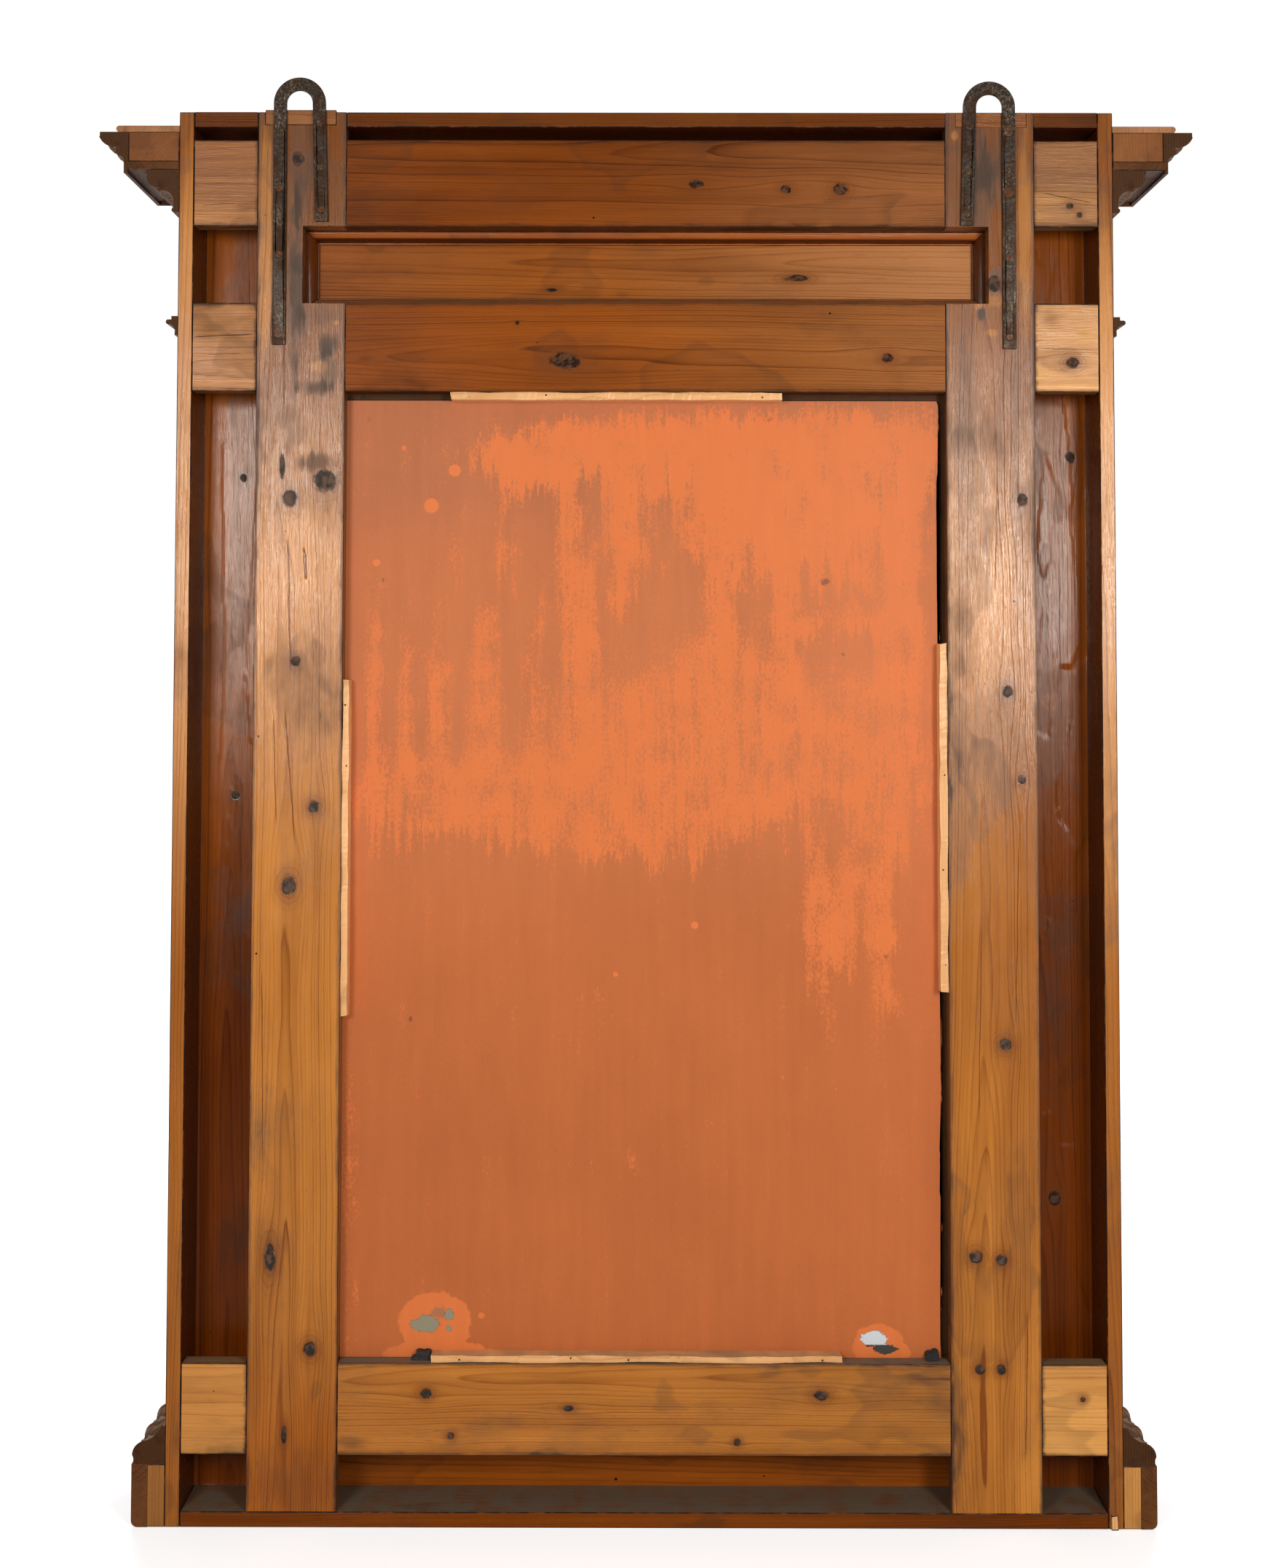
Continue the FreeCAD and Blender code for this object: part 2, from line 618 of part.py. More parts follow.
def make_cornice():
    cover_high = cover_low + COVER_THICKNESS
    nose_start = COVER_REACH - COVER_THICKNESS / 2
    cover = [
        (0, cover_low, 0),
        (nose_start, cover_low, -HALF_ROUND),
        (nose_start, cover_high, 0),
        (0, cover_high, 0),
    ]
    parts["cornice_cover_boards"] = Part.makeCompound(list(wrapped_moulding(cover).values()))
    bead_low = crown_low + CROWN_BEAD_START
    bead_high = bead_low + CROWN_BEAD_HEIGHT
    crown = [
        (CORNICE_PACKING, crown_low, 0),
        (CORONA_REACH, crown_low, QUARTER_ROUND),
        (CROWN_BEAD_REACH, bead_low, -FULL_ROUND),
        (CROWN_BEAD_REACH, bead_high, 0),
        (CROWN_BEAD_REACH + CROWN_FILLET, bead_high + CROWN_FILLET, -QUARTER_ROUND),
        (CROWN_REACH, cover_low - CROWN_NOSE, 0),
        (CROWN_REACH, cover_low, 0),
        (CORNICE_PACKING, cover_low, 0),
    ]
    add_moulding("crown_moulding", crown)
    parts["cornice_packing_blocks"] = packing_blocks(CORNICE_PACKING, (crown_low, cover_low))
    lip_inner = CORONA_REACH - CORONA_LIP_WIDTH
    corona = straight(
        (0, corona_low),
        (lip_inner, corona_low),
        (lip_inner, corona_low - CORONA_LIP_DROP),
        (CORONA_REACH, corona_low - CORONA_LIP_DROP),
        (CORONA_REACH, crown_low),
        (0, crown_low),
    )
    add_moulding("corona", corona)
    ovolo_low = corona_low - BED_OVOLO_HEIGHT
    fillet_low = ovolo_low - BED_FILLET_HEIGHT
    cove_low = fillet_low - BED_COVE_HEIGHT
    bead_top = bed_low + BED_BEAD_HEIGHT
    bed = [
        (0, bed_low, 0),
        (BED_COVE_REACH, bed_low, -FULL_ROUND),
        (BED_COVE_REACH, bead_top, 0),
        (BED_COVE_REACH, cove_low, QUARTER_ROUND),
        (BED_FILLET_REACH, fillet_low, 0),
        (BED_FILLET_REACH, ovolo_low, -QUARTER_ROUND),
        (BED_REACH, corona_low - BED_NOSE, 0),
        (BED_REACH, corona_low, 0),
        (0, corona_low, 0),
    ]
    add_moulding("bed_moulding", bed)


def make_string_moulding():
    fillet_low = string_high - STRING_TOP_FILLET
    nose_low = fillet_low - STRING_NOSE
    foot_high = string_low + STRING_FOOT_FILLET
    outline = [
        (0, string_low, 0),
        (STRING_FOOT_REACH, string_low, 0),
        (STRING_FOOT_REACH, foot_high, QUARTER_ROUND),
        (STRING_NOSE_REACH, nose_low, -FULL_ROUND),
        (STRING_NOSE_REACH, fillet_low, 0),
        (STRING_TOP_REACH, fillet_low, 0),
        (STRING_TOP_REACH, string_high, 0),
        (0, string_high, 0),
    ]
    add_moulding("string_moulding", outline)


def make_base():
    base_foot = PLINTH_HEIGHT + BASE_FOOT
    cusp = PLINTH_HEIGHT + BASE_CUSP_HEIGHT
    base_high = PLINTH_HEIGHT + BASE_HEIGHT
    base = [
        (0, PLINTH_HEIGHT, 0),
        (BASE_REACH, PLINTH_HEIGHT, 0),
        (BASE_REACH, base_foot, -QUARTER_ROUND),
        (BASE_CUSP_REACH, cusp, SHALLOW_ROUND),
        (BASE_TOP_REACH, base_high, 0),
        (0, base_high, 0),
    ]
    add_moulding("base_moulding", base)
    facing = [
        (PLINTH_PACKING, 0, 0),
        (plinth_reach - PLINTH_CORNER, 0, -QUARTER_ROUND),
        (plinth_reach, PLINTH_CORNER, 0),
        (plinth_reach, PLINTH_HEIGHT, 0),
        (PLINTH_PACKING, PLINTH_HEIGHT, 0),
    ]
    add_moulding("plinth_facing", facing)
    parts["plinth_packing_blocks"] = packing_blocks(PLINTH_PACKING, (0, PLINTH_HEIGHT))
    shim_inner = -side_inner - SHIM_INSET
    shim = straight(
        (shim_inner, 0),
        (shim_inner, SHIM_HEIGHT - SHIM_TAPER),
        (shim_inner - SHIM_WIDTH + SHIM_TAPER, SHIM_HEIGHT),
        (shim_inner - SHIM_WIDTH, 0),
    )
    parts["foot_shim"] = elevation_prism(shim, (-SHIM_THICKNESS, 0))


make_carcass()
make_rails()
make_stiles()
make_hangers()
make_frieze()
make_front_boards()
make_sight_moulding()
make_plate()
make_cornice()
make_string_moulding()
make_base()

os.makedirs("parts", exist_ok=True)
for node, shape in parts.items():
    shape.exportStep(f"parts/{node}.step")
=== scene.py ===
"""Looks of a tall carved wood mirror, seen from its back. Lengths are in metres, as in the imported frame."""

import math

import bmesh
import bpy
import numpy as np
from mathutils import Matrix, Vector


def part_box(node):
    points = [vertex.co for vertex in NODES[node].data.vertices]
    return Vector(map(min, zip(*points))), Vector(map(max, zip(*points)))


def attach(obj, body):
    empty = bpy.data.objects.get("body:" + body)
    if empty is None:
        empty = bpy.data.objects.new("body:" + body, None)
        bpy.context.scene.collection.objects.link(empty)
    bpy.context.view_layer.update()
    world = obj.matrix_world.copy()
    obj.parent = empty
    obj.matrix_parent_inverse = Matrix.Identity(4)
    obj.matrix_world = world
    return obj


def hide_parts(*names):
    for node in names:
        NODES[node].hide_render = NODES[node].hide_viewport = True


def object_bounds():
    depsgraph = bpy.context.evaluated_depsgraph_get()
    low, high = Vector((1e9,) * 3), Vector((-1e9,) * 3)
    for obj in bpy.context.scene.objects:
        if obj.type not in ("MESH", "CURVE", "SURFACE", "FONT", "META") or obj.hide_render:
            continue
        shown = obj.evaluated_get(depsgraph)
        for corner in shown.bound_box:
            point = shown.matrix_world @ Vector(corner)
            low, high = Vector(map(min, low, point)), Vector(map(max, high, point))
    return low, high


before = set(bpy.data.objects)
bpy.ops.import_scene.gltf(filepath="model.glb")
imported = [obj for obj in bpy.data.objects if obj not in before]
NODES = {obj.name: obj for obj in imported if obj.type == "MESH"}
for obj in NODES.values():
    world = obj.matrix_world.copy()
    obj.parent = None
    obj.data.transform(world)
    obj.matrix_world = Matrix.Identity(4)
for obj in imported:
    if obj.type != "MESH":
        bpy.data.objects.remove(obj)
CAD_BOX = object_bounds()
MM = 0.001

# Camera, fitted to the corners of the carcass and the rails.
PICTURE_HEIGHT = 2154
CAMERA_PLACE = (0.0142, 2.7901, 1.2172)
CAMERA_PITCH, CAMERA_YAW, CAMERA_ROLL = 0.0387, 0.0018, 0.0016
FOCAL_PIXELS = 2535.7
AXIS_ABOVE_CENTRE = 250
SENSOR = 36.0

# Planes and edges that many pieces share, read from the frame.
SIDE_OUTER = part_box("side_board_right")[1].x
BACK_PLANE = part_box("side_board_right")[1].y
FRONT_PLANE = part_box("side_board_right")[0].y
STILE_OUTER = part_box("stile_right")[1].x
PLATE_LOW, PLATE_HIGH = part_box("mirror_plate")


def metres(lengths, *rows):
    """Rows of numbers. The first few of each, the lengths, are given in millimetres and become metres."""
    return tuple((*(number * MM for number in row[:lengths]), *row[lengths:]) for row in rows)


class Field:
    """What a shader node gives at each point of a surface. Arithmetic on it adds nodes."""

    def __init__(self, shading, socket):
        self.shading = shading
        self.socket = socket

    def __add__(self, other):
        return self.shading.math("ADD", self, other)

    def __sub__(self, other):
        return self.shading.math("SUBTRACT", self, other)

    def __rsub__(self, other):
        return self.shading.math("SUBTRACT", other, self)

    def __mul__(self, other):
        return self.shading.math("MULTIPLY", self, other)

    def __truediv__(self, other):
        return self.shading.math("DIVIDE", self, other)

    def __pow__(self, power):
        return self.shading.math("POWER", self, power)

    def __abs__(self):
        return self.shading.math("ABSOLUTE", self)

    __radd__ = __add__
    __rmul__ = __mul__


class Shading:
    """A node tree, with short calls for the nodes that the finishes, the floor and the backdrop use."""

    def __init__(self, tree):
        self.tree = tree
        tree.nodes.clear()

    def node(self, kind, *inputs, **settings):
        made = self.tree.nodes.new(kind)
        for name, value in settings.items():
            setattr(made, name, value)
        for socket, value in zip(made.inputs, inputs):
            self.feed(socket, value)
        return made

    def field(self, kind, output, *inputs, **settings):
        return Field(self, self.node(kind, *inputs, **settings).outputs[output])

    def feed(self, socket, value):
        if isinstance(value, Field):
            self.tree.links.new(value.socket, socket)
        elif socket.type == "RGBA" and len(value) == 3:
            socket.default_value = (*value, 1.0)
        else:
            socket.default_value = value

    def math(self, operation, *values, clamp=False):
        return self.field("ShaderNodeMath", 0, *values, operation=operation, use_clamp=clamp)

    def largest(self, first, second):
        return self.math("MAXIMUM", first, second)

    def vector(self, operation, *values):
        output = "Value" if operation in ("LENGTH", "DISTANCE", "DOT_PRODUCT") else "Vector"
        return self.field("ShaderNodeVectorMath", output, *values, operation=operation)

    def parts(self, vector):
        return [Field(self, output) for output in self.node("ShaderNodeSeparateXYZ", vector).outputs]

    def join(self, x, y, z):
        return self.field("ShaderNodeCombineXYZ", 0, x, y, z)

    def spread(self, value, low, high, start=0.0, end=1.0):
        """A smooth step from start to end as value goes from low to high."""
        limits = low, high, start, end
        return self.field("ShaderNodeMapRange", 0, value, *limits, interpolation_type="SMOOTHSTEP")


class Finish(Shading):
    """A procedural material on a Principled shader."""

    def __init__(self, name, **shader):
        self.material = bpy.data.materials.new(name)
        self.material.use_nodes = True
        super().__init__(self.material.node_tree)
        self.shader = self.node("ShaderNodeBsdfPrincipled")
        output = self.node("ShaderNodeOutputMaterial")
        self.tree.links.new(self.shader.outputs[0], output.inputs["Surface"])
        for socket, value in shader.items():
            self.feed(self.shader.inputs[socket.replace("_", " ")], value)
        self.point = self.field("ShaderNodeTexCoord", "Object")
        self.place = self.parts(self.point)
        self.normal = self.field("ShaderNodeNewGeometry", "Normal")

    def done(self, colour, rough, height=None, relief=0.0):
        """The material, with its colour, roughness and a surface relief that deep."""
        self.feed(self.shader.inputs["Base Color"], colour)
        self.feed(self.shader.inputs["Roughness"], rough)
        if height is not None:
            bump = self.node("ShaderNodeBump")
            bump.inputs["Strength"].default_value = 1.0
            bump.inputs["Distance"].default_value = relief
            self.feed(bump.inputs["Height"], height)
            self.tree.links.new(bump.outputs[0], self.shader.inputs["Normal"])
        return self.material

    def noise(self, point, scale, detail=2.0, roughness=0.5):
        """Noise from 0 to 1 with its own scale along each axis, in cycles per metre."""
        made = self.node("ShaderNodeTexNoise")
        self.feed(made.inputs["Vector"], self.vector("MULTIPLY", point, scale))
        for name, value in (("Scale", 1.0), ("Detail", detail), ("Roughness", roughness)):
            made.inputs[name].default_value = value
        return Field(self, made.outputs[0])

    def noises(self, point, *settings):
        return [self.noise(point, *setting) for setting in settings]

    def scaled(self, noise, factor):
        """Noise about its middle, times a factor."""
        return (noise - 0.5) * factor

    def cells(self, point, scale):
        """Distance to the nearest of scattered points, in cells, and a random number for that point."""
        made = self.node("ShaderNodeTexVoronoi")
        self.feed(made.inputs["Vector"], point)
        made.inputs["Scale"].default_value = scale
        return Field(self, made.outputs["Distance"]), self.parts(Field(self, made.outputs["Color"]))[0]

    def ramp(self, value, *stops):
        made = self.node("ShaderNodeValToRGB", value)
        elements = made.color_ramp.elements
        while len(elements) < len(stops):
            elements.new(0.5)
        for element, (place, level) in zip(elements, stops):
            element.position = place
            element.color = (level, level, level, 1.0)
        return Field(self, made.outputs[0])

    def mix(self, factor, first, second, blend="MIX"):
        made = self.node("ShaderNodeMix", data_type="RGBA", blend_type=blend)
        for index, value in zip((0, 6, 7), (factor, first, second)):
            self.feed(made.inputs[index], value)
        return Field(self, made.outputs[2])

    def tinted(self, factor, colour, tint):
        """The colour, multiplied by the tint as far as factor says."""
        return self.mix(factor, colour, self.mix(1.0, colour, tint, "MULTIPLY"))

    def reach(self, point, x, z, wide, high):
        """Distance from a place on the back, where 1 is on an ellipse with these half axes."""
        offset = self.vector("SUBTRACT", point, (x, 0.0, z))
        return self.vector("LENGTH", self.vector("MULTIPLY", offset, (1 / wide, 0.0, 1 / high)))


# Wood. A board's own axes are across the face, along the grain and into the depth.
BOARD_AXES = {"X": (2, 0, 1), "Y": (2, 1, 0), "Z": (0, 2, 1)}
GRIME = (0.040, 0.015, 0.006)
DUST = (0.150, 0.112, 0.072)
KNOT_HEART = (0.115, 0.045, 0.020)
KNOT_DARK = (0.020, 0.010, 0.006)
KNOT_HALO = (0.190, 0.050, 0.009)
HOLE = (0.008, 0.005, 0.003)
RUBBED = ((0.62, 0.245, 0.046), (0.36, 0.105, 0.012))
WARM_GLOSS = (1.0, 0.97, 0.88)
# How far the ring centre drifts along a board, which makes the arched figure.
LEAN = 0.012
SEED_STEPS = (3.1, 7.7, 1.3)
# How far the noises bend the rings, in metres, and how much the years differ in width and in strength.
WANDER_ASIDE, WANDER_BELOW, WAVER, RIPPLE = 0.045, 0.016, 0.0085, 0.0012
YEAR_PACE, YEAR_DRIFT, YEAR_FAINT = (0.23, 1, 1), 2.6, 0.20
# Shares of the hard wood, the noises and the marks in the tone, the height and the roughness.
TONE_BASE, HARD_TONE, FIBRE_TONE, STREAK_TONE, PATCH_TONE = 0.30, 0.85, 0.45, 0.95, 1.6
HARD_HEIGHT, FIBRE_HEIGHT, SCUFF_HEIGHT, PIN_HEIGHT, CRACK_HEIGHT = 0.45, 0.55, 0.7, -2.0, -3.0
SCUFF_ROUGH, BLOTCH_ROUGH, DIRT_ROUGH, KNOT_ROUGH, DUST_ROUGH = 0.25, 0.35, 0.30, 0.40, 0.4
# Where the noises turn to dirt, how far they fray the edges of marks, and how those edges fade.
BLOTCH_DIRT, SCUFF_DIRT, MOST_DIRT = (0.50, 0.78), (0.60, 0.80), 0.88
# The x over which the tint towards the mirror's left side grows. On most boards that tint is a painted sheen.
SHADE_FRAY, SIDE_LIGHT_FADE = 0.30, (0.15, -0.40)
LIGHT_FRAY, LIGHT_EDGE = 1.6, (0.40, 1.15)
SMUDGE_FRAY, SMUDGE_STREAKS, SMUDGE_EDGE = 2.4, 1.6, (0.25, 1.25)
JOINT_FRAY, JOINT_FADE = 0.012, (0.0, 0.006, 0.62, 0.0)
WET_EDGE, WET_FADE = (0.56, 0.58), (0.585, 0.64, 0.22, 0.08)
CRACK_STRAY, CRACK_ENDS = 6, 0.15
PIN_CELLS, PIN_CHANCE, PIN_HASH, PIN_LEAST, PIN_RANGE = 26.0, 0.30, 37.0, 0.02, 0.035
FACE_EDGE, FACE_DARK = (0.6, 0.8), 0.45
DUST_SLOPE, DUST_NOISE, DUST_PATCHES = (0.55, 0.95), ((30, 30, 30), 4.0), (0.25, 0.6, 0.5, 1.0)
HARD_WOOD = ((0.0, 0.0), (0.55, 0.08), (0.82, 0.50), (0.93, 1.0), (1.0, 0.0))
KNOT_RINGS = ((0.0, 0.0), (0.6, 0.15), (0.9, 1.0), (1.0, 0.0))
# A knot's edges, in its radii: where each part starts and ends, and its strengths there.
KNOT_PUSH, KNOT_REACH, KNOT_FRAY = 0.86, (0.42, 0.15, 0.0), 0.55
RING_PACE, RING_FADE = 1.5, (1.2, 3.2, 0.55, 0.0)
HALO_FALL, HALO_SHARE = -0.35, 0.75
CORE_EDGE, HEART_MOTTLE, HEART_SPLIT = (0.70, 1.0, 1.0, 0.0), (0.40, 0.60), (0.0, 0.025, 0.95, 0.0)
BARK_INNER, BARK_OUTER, BARK_GAPS = (0.66, 0.86), (0.90, 1.12, 1.0, 0.0), (0.40, 0.56)
CORE_HEIGHT, BARK_HEIGHT = 0.3, -0.6
# Noises of a board: cycles per metre across, along and in depth, detail and roughness.
FIGURE_NOISES = ((2.0, 0.8, 2.0),), ((13, 2.2, 13),), ((80, 9, 80),)
TONE_NOISES = ((1000, 14, 1000), 2.0, 0.6), ((60, 1.3, 60), 4.0, 0.62), ((7, 1.8, 7), 4.0, 0.55)
DIRT_NOISES = (
    ((9, 4, 9), 5.0, 0.62), ((230, 30, 230), 4.0, 0.7), ((85, 14, 85), 5.0, 0.7), ((6, 3, 6), 3.0, 0.6),
)
KNOT_NOISES = (
    ((150, 90, 150), 3.0, 0.6), ((110, 80, 110), 3.0), ((75, 60, 75), 2.0), ((60, 60, 60),),
)


def knot_field(finish, board, axes, knots):
    """How far the grain is pushed aside by the knots, and the distance to the nearest one in its radii."""
    pushed, nearest = 0.0, None
    for x, z, radius, stretch in knots:
        centre = [(x, 0.0, z)[axis] for axis in axes]
        offset = finish.vector("SUBTRACT", board, centre)
        near = finish.vector("MULTIPLY", offset, (1 / radius, 1 / (radius * stretch), 0.0))
        far = finish.vector("MULTIPLY", near, KNOT_REACH)
        fade = finish.math("EXPONENT", finish.vector("DOT_PRODUCT", far, far) * -1.0)
        pushed = finish.parts(offset)[0] * (fade * KNOT_PUSH) + pushed
        distance = finish.vector("LENGTH", near)
        nearest = distance if nearest is None else finish.math("MINIMUM", nearest, distance)
    return pushed, nearest


def knots_on(finish, board, nearest, colour, height):
    """Colour and height with the knots: closed rings, a brown halo, a split heart and a broken bark ring."""
    ragged, mottle, split, gaps = finish.noises(board, *KNOT_NOISES)
    edge = nearest + finish.scaled(ragged, KNOT_FRAY)
    closed = finish.ramp(finish.math("FRACT", edge * RING_PACE), *KNOT_RINGS)
    colour = finish.mix(closed * finish.spread(edge, *RING_FADE), colour, KNOT_HALO)
    halo = finish.math("EXPONENT", edge ** 2.0 * HALO_FALL)
    colour = finish.mix(halo * HALO_SHARE, colour, KNOT_HALO)
    core = finish.spread(edge, *CORE_EDGE)
    heart = finish.mix(finish.spread(mottle, *HEART_MOTTLE), KNOT_HEART, KNOT_DARK)
    heart = finish.mix(finish.spread(abs(finish.scaled(split, 1.0)), *HEART_SPLIT), heart, HOLE)
    colour = finish.mix(core, colour, heart)
    bark = finish.spread(edge, *BARK_INNER) * finish.spread(edge, *BARK_OUTER)
    bark = bark * finish.spread(gaps, *BARK_GAPS)
    height = height + core * CORE_HEIGHT + bark * BARK_HEIGHT
    return finish.mix(bark, colour, KNOT_DARK), height, core


def wood(name, grain, early, late, pith, seed, ring=0.0036, knots=(), grime=0.38, dusty=0.5, roughness=0.32,
         specular=0.42, holes=0.8, contrast=0.95, heights=(), faces=(), smudges=(), lights=(), cracks=(),
         crack_colour=HOLE, painted_side_light=None, joints=(), relief=0.00045):
    """A board with year rings round a pith, fibre, knots that part the grain, dirt, pin holes and dust.

    early and late are the colours of the soft and the hard wood of a year ring. pith is the ring centre,
    across and in depth. knots are (x, z, radius, stretch along the grain). heights are (colour, none, full):
    the colour multiplies the wood from the height none to the height full. faces are (direction, colour): a
    finish on the faces that point that way, and on the tray top's downward faces a painted shade. smudges and
    lights are (x, z, half width, half height, strength) of dark and of pale patches. cracks are (from x, from
    z, to x, to z, half width). painted_side_light multiplies the wood towards the mirror's left side; on most
    boards this is a painted sheen from the lamp on that side. joints are (axis, place): dirt has gathered
    along these lines, with x taken on both sides.
    """
    finish = Finish(name, Specular_IOR_Level=specular, Specular_Tint=WARM_GLOSS)
    axes = BOARD_AXES[grain]
    across, along, depth = (finish.place[axis] for axis in axes)
    board = finish.join(across, along, depth)
    shifted = finish.vector("ADD", board, [step * seed for step in SEED_STEPS])
    pushed, nearest = knot_field(finish, board, axes, knots)

    wander, waver, ripple = finish.noises(shifted, *FIGURE_NOISES)
    aside = across - pith[0] + finish.scaled(wander, WANDER_ASIDE) - pushed
    below = depth - pith[1] + along * LEAN + finish.scaled(wander, WANDER_BELOW)
    radius = finish.vector("LENGTH", finish.join(aside, below, 0.0))
    years = (radius + finish.scaled(waver, WAVER) + finish.scaled(ripple, RIPPLE)) / ring
    years = years + finish.scaled(finish.noise(finish.join(years, seed, 0.0), YEAR_PACE), YEAR_DRIFT)
    year = finish.node("ShaderNodeTexWhiteNoise", noise_dimensions="1D")
    finish.feed(year.inputs["W"], finish.math("FLOOR", years))
    strength = Field(finish, year.outputs["Value"]) ** 2.0 * (1 - YEAR_FAINT) + YEAR_FAINT
    hard = finish.ramp(finish.math("FRACT", years), *HARD_WOOD) * strength

    fibre, streak, patch = finish.noises(shifted, *TONE_NOISES)
    tone = hard * (HARD_TONE * contrast) + TONE_BASE + finish.scaled(fibre, FIBRE_TONE)
    tone = tone + finish.scaled(streak, STREAK_TONE * contrast) + finish.scaled(patch, PATCH_TONE)
    tone = finish.math("MAXIMUM", tone, 0.0, clamp=True)
    colour = finish.mix(tone, early, late)
    ragged_height = finish.place[2] + finish.scaled(streak, SHADE_FRAY)
    for shade, none, full in heights:
        colour = finish.tinted(finish.spread(ragged_height, none, full), colour, shade)
    # Painted sheen: on most boards the tint towards the mirror's left side stands for the lamp's sheen there.
    if painted_side_light is not None:
        colour = finish.tinted(finish.spread(finish.place[0], *SIDE_LIGHT_FADE), colour, painted_side_light)

    blotch, scuff, torn, wet = finish.noises(shifted, *DIRT_NOISES)
    dirt = finish.spread(blotch, *BLOTCH_DIRT, 0.0, grime) + finish.spread(scuff, *SCUFF_DIRT, 0.0, grime)
    pale = 0.0
    for *spot, amount in lights:
        reach = finish.reach(finish.point, *spot) + finish.scaled(torn, LIGHT_FRAY)
        pale = finish.largest(pale, finish.spread(reach, *LIGHT_EDGE, amount, 0.0))
    if lights:
        colour = finish.mix(pale, colour, finish.mix(tone, *RUBBED))
    for *spot, amount in smudges:
        reach = finish.reach(finish.point, *spot) + finish.scaled(torn, SMUDGE_FRAY)
        reach = reach + finish.scaled(streak, SMUDGE_STREAKS)
        dirt = dirt + finish.spread(reach, *SMUDGE_EDGE, amount, 0.0)
    for axis, line in joints:
        side = abs(finish.place[0]) if axis == 0 else finish.place[axis]
        gap = abs(side - line) + finish.scaled(torn, JOINT_FRAY)
        dirt = dirt + finish.spread(gap, *JOINT_FADE)
    dirt = dirt + finish.spread(wet, *WET_EDGE) * finish.spread(wet, *WET_FADE)
    colour = finish.mix(finish.math("MINIMUM", dirt, MOST_DIRT), colour, GRIME)

    crack = 0.0
    for from_x, from_z, to_x, to_z, wide in cracks:
        run = Vector((to_x - from_x, 0.0, to_z - from_z))
        side = Vector((-run.z, 0.0, run.x)).normalized()
        offset = finish.vector("SUBTRACT", finish.point, (from_x, 0.0, from_z))
        strayed = finish.vector("DOT_PRODUCT", offset, side) + finish.scaled(torn, CRACK_STRAY * wide)
        share = finish.vector("DOT_PRODUCT", offset, run.normalized()) / run.length
        inside = finish.spread(share, 0.0, CRACK_ENDS) * finish.spread(share, 1 - CRACK_ENDS, 1.0, 1.0, 0.0)
        crack = finish.largest(crack, finish.spread(abs(strayed), 0.5 * wide, wide, 1.0, 0.0) * inside)
    if cracks:
        colour = finish.mix(crack, colour, crack_colour)
    apart, chance = finish.cells(shifted, PIN_CELLS)
    size = finish.math("FRACT", chance * PIN_HASH) * PIN_RANGE + PIN_LEAST
    pin = finish.math("LESS_THAN", apart, size) * finish.math("LESS_THAN", chance, PIN_CHANCE * holes)
    colour = finish.mix(pin, colour, HOLE)
    height = hard * HARD_HEIGHT + fibre * FIBRE_HEIGHT + scuff * SCUFF_HEIGHT + pin * PIN_HEIGHT
    if cracks:
        height = height + crack * CRACK_HEIGHT
    rough = finish.scaled(scuff, SCUFF_ROUGH) + roughness + finish.scaled(blotch, BLOTCH_ROUGH)
    rough = rough + dirt * DIRT_ROUGH
    if knots:
        colour, height, core = knots_on(finish, board, nearest, colour, height)
        rough = rough + core * KNOT_ROUGH
    for direction, stain in faces:
        faced = finish.spread(finish.vector("DOT_PRODUCT", finish.normal, direction), *FACE_EDGE)
        darker = [FACE_DARK * channel for channel in stain]
        colour = finish.mix(faced, colour, finish.mix(tone, stain, darker))
    settled = finish.spread(finish.parts(finish.normal)[2], *DUST_SLOPE)
    settled = settled * finish.spread(finish.noise(board, *DUST_NOISE), *DUST_PATCHES)
    colour = finish.mix(settled * dusty, colour, DUST)
    return finish.done(colour, rough + settled * (DUST_ROUGH * dusty), height, relief)


# The arrises are dark with dirt and, where boards meet, with painted shadow standing for the gaps between
# them.
EDGE_DARK, EDGE_RUBBED = (0.022, 0.008, 0.003), (0.15, 0.045, 0.009)
EDGE_NOISE, EDGE_DIRT_AND_SHADE, EDGE_ROUGH = ((40, 40, 40), 5.0, 0.65), (0.45, 0.66), (0.3, 0.7, 0.65, 0.4)
EDGE_RELIEF = 0.0006


def edge_dirt_and_gap_shade():
    """The rubbed and dirty arrises of the boards, also dark as painted shadow in the gaps between boards."""
    finish = Finish("worn edge", Specular_IOR_Level=0.25)
    dirt = finish.noise(finish.point, *EDGE_NOISE)
    colour = finish.mix(finish.spread(dirt, *EDGE_DIRT_AND_SHADE), EDGE_DARK, EDGE_RUBBED)
    return finish.done(colour, finish.spread(dirt, *EDGE_ROUGH), dirt, EDGE_RELIEF)


FRONT, LEFT, RIGHT, DOWN = (0.0, -1.0, 0.0), (-1.0, 0.0, 0.0), (1.0, 0.0, 0.0), (0.0, 0.0, -1.0)
BACK = (0.0, 1.0, 0.0)


def palette(early, late, **more):
    """Settings for wood(): the colours of soft and hard wood, and what goes with them."""
    return dict(early=early, late=late, **more)


